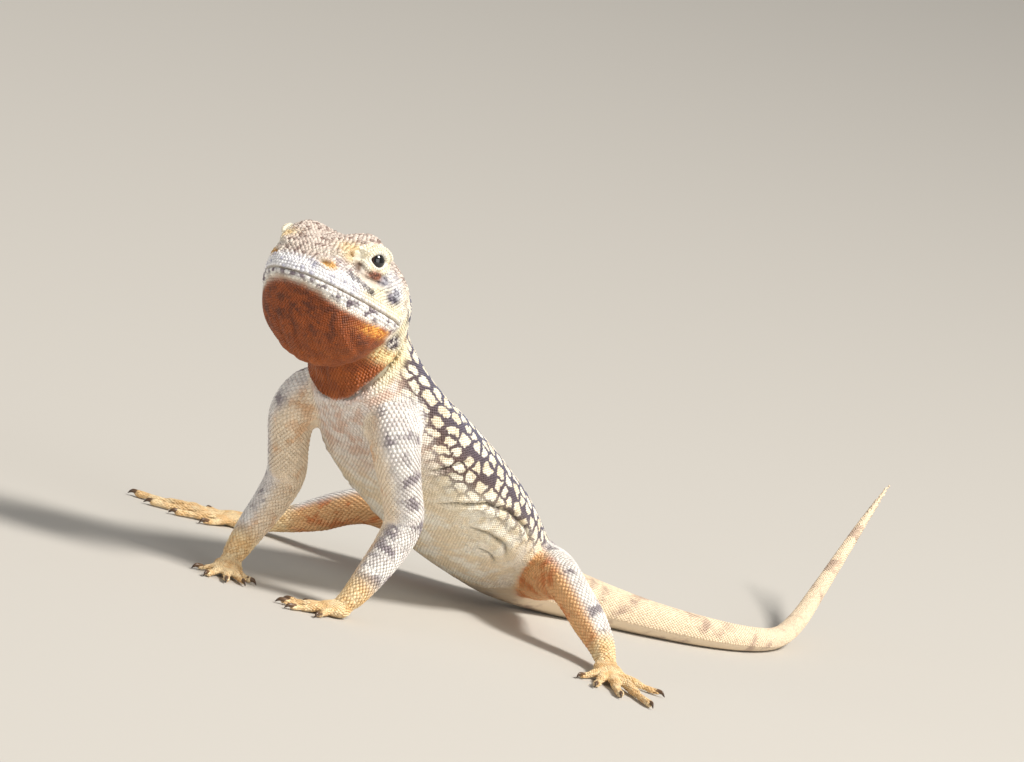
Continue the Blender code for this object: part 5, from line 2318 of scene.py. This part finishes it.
@dataclass
class Studio:
    """The camera of the photograph, a plain pale floor and soft light from the upper right."""

    placement: Placement
    azimuth: float = 35.0
    elevation: float = 8.0
    roll: float = 16.0
    distance: float = 1600.0
    aim: Triple = (10.0, 0.0, 29.5)
    offset: tuple[float, float] = (19.69, 8.37)  # how far right and up of the aim the picture's middle is
    lens: float = 362.8
    floor_size: float = 8.0  # half its width in metres
    floor_light: str = "#C4C1BB"
    floor_dark: str = "#BFBCB5"
    surround: str = "#F1EFEC"
    surround_strength: float = 0.40
    lamps: tuple[Lamp, ...] = (
        Lamp("key", (0.98, 0.76, -0.42), 2.0, 0.46, 50.0, "#FFF9F1"),
        Lamp("fill", (-0.8, 0.25, -0.7), 1.5, 0.9, 5.0, "#F2F2F6"),
        Lamp("front", (0.7, 0.05, -0.75), 1.5, 0.9, 5.5, "#FFFDFA"),
    )

    def axes(self) -> tuple[Array, Array, Array]:
        """The camera's right, up and forward directions.

        Returns:
            The three directions.
        """
        azimuth, elevation, roll = map(math.radians, (self.azimuth, self.elevation, self.roll))
        right = np.array([math.cos(azimuth), math.sin(azimuth), 0.0])
        forward = np.array(
            [
                -math.sin(azimuth) * math.cos(elevation),
                math.cos(azimuth) * math.cos(elevation),
                -math.sin(elevation),
            ]
        )
        up = np.cross(right, forward)
        return (
            right * math.cos(roll) + up * math.sin(roll),
            up * math.cos(roll) - right * math.sin(roll),
            forward,
        )

    def camera(self) -> None:
        """Adds the camera at the photograph's viewing angle."""
        right, up, forward = self.axes()
        data = bpy.data.cameras.new("camera")
        data.lens = self.lens
        data.sensor_width = 36.0
        data.clip_start, data.clip_end = 0.05, 50.0
        view = bpy.data.objects.new("camera", data)
        place = np.array(self.aim) + right * self.offset[0] + up * self.offset[1] - forward * self.distance
        turn = Matrix([right, up, -forward]).transposed().to_4x4()
        view.matrix_world = Matrix.Translation(self.placement.metres(place)) @ turn
        bpy.context.scene.collection.objects.link(view)
        bpy.context.scene.camera = view

    def floor(self) -> None:
        """Adds the floor, a matt painted board with faint unevenness."""
        ways = ((-1, -1, 0), (1, -1, 0), (1, 1, 0), (-1, 1, 0))
        corners = np.array(ways) * self.floor_size
        floor = piece_from("floor", corners, [(0, 1, 2, 3)])
        made = bpy.data.materials.new("painted_floor")
        made.use_nodes = True
        tree = made.node_tree
        noise = add_node(tree, "ShaderNodeTexNoise", {"Scale": 3.0, "Detail": 2.0})
        colours = {"data_type": "RGBA", 6: linear(self.floor_light), 7: linear(self.floor_dark)}
        mix = add_node(tree, "ShaderNodeMix", colours, {0: noise.outputs["Fac"]})
        shader = tree.nodes["Principled BSDF"]
        tree.links.new(mix.outputs[2], shader.inputs["Base Color"])
        shader.inputs["Roughness"].default_value = 0.9
        floor.data.materials.append(made)

    def light(self) -> None:
        """Adds the key light from the upper right, two weak fills and a pale surround."""
        for lamp in self.lamps:
            lamp.hang(self.axes())
        world = bpy.data.worlds.new("surround")
        world.use_nodes = True
        shader = world.node_tree.nodes["Background"]
        shader.inputs["Color"].default_value = linear(self.surround)
        shader.inputs["Strength"].default_value = self.surround_strength
        bpy.context.scene.world = world
        bpy.context.scene.view_settings.view_transform = "Standard"


FLESH = (
    "head",
    "neck",
    "torso",
    "tail_base",
    "tail_middle",
    "tail_end",
    *(
        f"{side}_{part}"
        for side in ("left", "right")
        for part in ("upper_arm", "forearm", "forefoot", "thigh", "shin", "hindfoot")
    ),
)


def dress_coat(coat: Coat, placement: Placement) -> list[bpy.types.Object]:
    """Makes the scales of every part.

    Args:
        coat: The scales' maker.
        placement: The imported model's frame.

    Returns:
        The pieces of scales.
    """
    hide = coat.hide
    head, trunk = hide.head_loft, hide.trunk_loft
    crown = ScaleRows(ScaleKind.KEELED, 0.76, 0.44, 0.18, "crown")
    cheek = ScaleRows(ScaleKind.SMOOTH, 0.54, 0.31, 0.09, "cheek")
    throat = ScaleRows(ScaleKind.BEAD, 0.50, 0.28, 0.06, "throat", 1.0)
    back = ScaleRows(ScaleKind.SMOOTH, 0.52, 0.30, 0.09, "back")
    belly = ScaleRows(ScaleKind.SMOOTH, 0.58, 0.42, 0.07, "belly", 0.98)
    leg_plan = ScaleRows(ScaleKind.KEELED, 0.74, 0.42, 0.15, "leg")
    toe_plan = ScaleRows(ScaleKind.KEELED, 0.5, 0.30, 0.08, "all")
    lots = [(coat.rows(head, crown), crown.kind, crown.height)]
    made = [coat.build("crown_scales", lots, placement, wild=3.5)]
    lots = [(coat.rows(head, plan), plan.kind, plan.height) for plan in (cheek, throat)]
    made.append(coat.build("cheek_and_throat_scales", lots, placement, wild=1.5))
    lids = Roots.joined([coat.lid_rows(eye) for eye in hide.eyes])
    lips = Roots.joined([coat.lip_rows(True), coat.lip_rows(False)])
    lots = [
        (lids, ScaleKind.BEAD, 0.07),
        (lips, ScaleKind.BEAD, 0.15),
        (coat.crest_rows(), ScaleKind.SPINE, 0.42),
    ]
    made.append(coat.build("lid_lip_and_crest_scales", lots, placement, wild=1.4))
    for plan, name, stretches in ((back, "back_scales", 3), (belly, "belly_scales", 1)):
        roots = coat.rows(trunk, plan)
        stretch = np.arange(len(roots.points)) * stretches // len(roots.points)
        for number in range(stretches):
            own = [(roots.keep(stretch == number), plan.kind, plan.height)]
            made.append(coat.build(f"{name}_{number + 1}" if stretches > 1 else name, own, placement))
    for leg, loft in zip(hide.legs, hide.survey.leg_lofts):
        kind = "foreleg" if leg.plan is HAND else "hindleg"
        name = f"{leg.side.name.lower()}_{kind}_scales"
        lots = [(coat.rows(loft, leg_plan), leg_plan.kind, leg_plan.height)]
        for part in [leg.palm(), *leg.toes()]:
            lots.append((coat.rows(part, toe_plan, 0.35), toe_plan.kind, toe_plan.height))
        made.append(coat.build(name, lots, placement))
    return made


def main() -> None:
    """Builds the animal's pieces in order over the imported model, then the studio round it."""
    logging.basicConfig(level=logging.INFO, format="%(name)s: %(message)s")
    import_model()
    eyes = [Eye(side) for side in Side]
    placement = Placement.from_eye(eyes[0])
    studio = Studio(placement)
    studio.camera()
    skull = Skull()
    kinds = ((FORELEG, HAND), (HINDLEG, HIND))
    legs = [Leg(side, sections, plan) for side in Side for sections, plan in kinds]
    hide = Hide(skull, Trunk(skull=skull), legs, eyes)
    skin = hide.build(placement)
    places = points_of(skin.data) / MM - placement.shift
    hide.points = places
    finish = HideFinish()
    none = np.zeros(len(places))
    store_marks(skin, hide, Roots(places, places, places, none, none, hide.normals), None, none)
    skin.data.materials.append(finish.material("skin_between_scales", lift=0.86, roughness=0.62))
    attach(skin, "root")
    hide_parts(*FLESH)
    LOG.info("skin: %d triangles", len(hide.triangles))
    scale_material = finish.material("keratin_scales", lift=1.0, roughness=0.46)
    coat = Coat(hide, places)
    for piece in dress_coat(coat, placement):
        piece.data.materials.append(scale_material)
        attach(piece, "root")
        LOG.info("%s: %d triangles", piece.name, len(piece.data.polygons))
    wet = EyeFinish().material()
    for eye in eyes:
        piece = eye.build(placement)
        piece.data.materials.append(wet)
        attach(piece, "root")
        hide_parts(f"{eye.side.name.lower()}_eye")
        LOG.info("%s", piece.name)
    horn = ClawFinish().material()
    for leg in legs:
        kind = "forefoot" if leg.plan is HAND else "hindfoot"
        piece = leg.build_claws(f"{leg.side.name.lower()}_{kind}_claws", placement)
        piece.data.materials.append(horn)
        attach(piece, "root")
        LOG.info("%s", piece.name)
    studio.floor()
    studio.light()


if __name__ == "__main__":
    main()
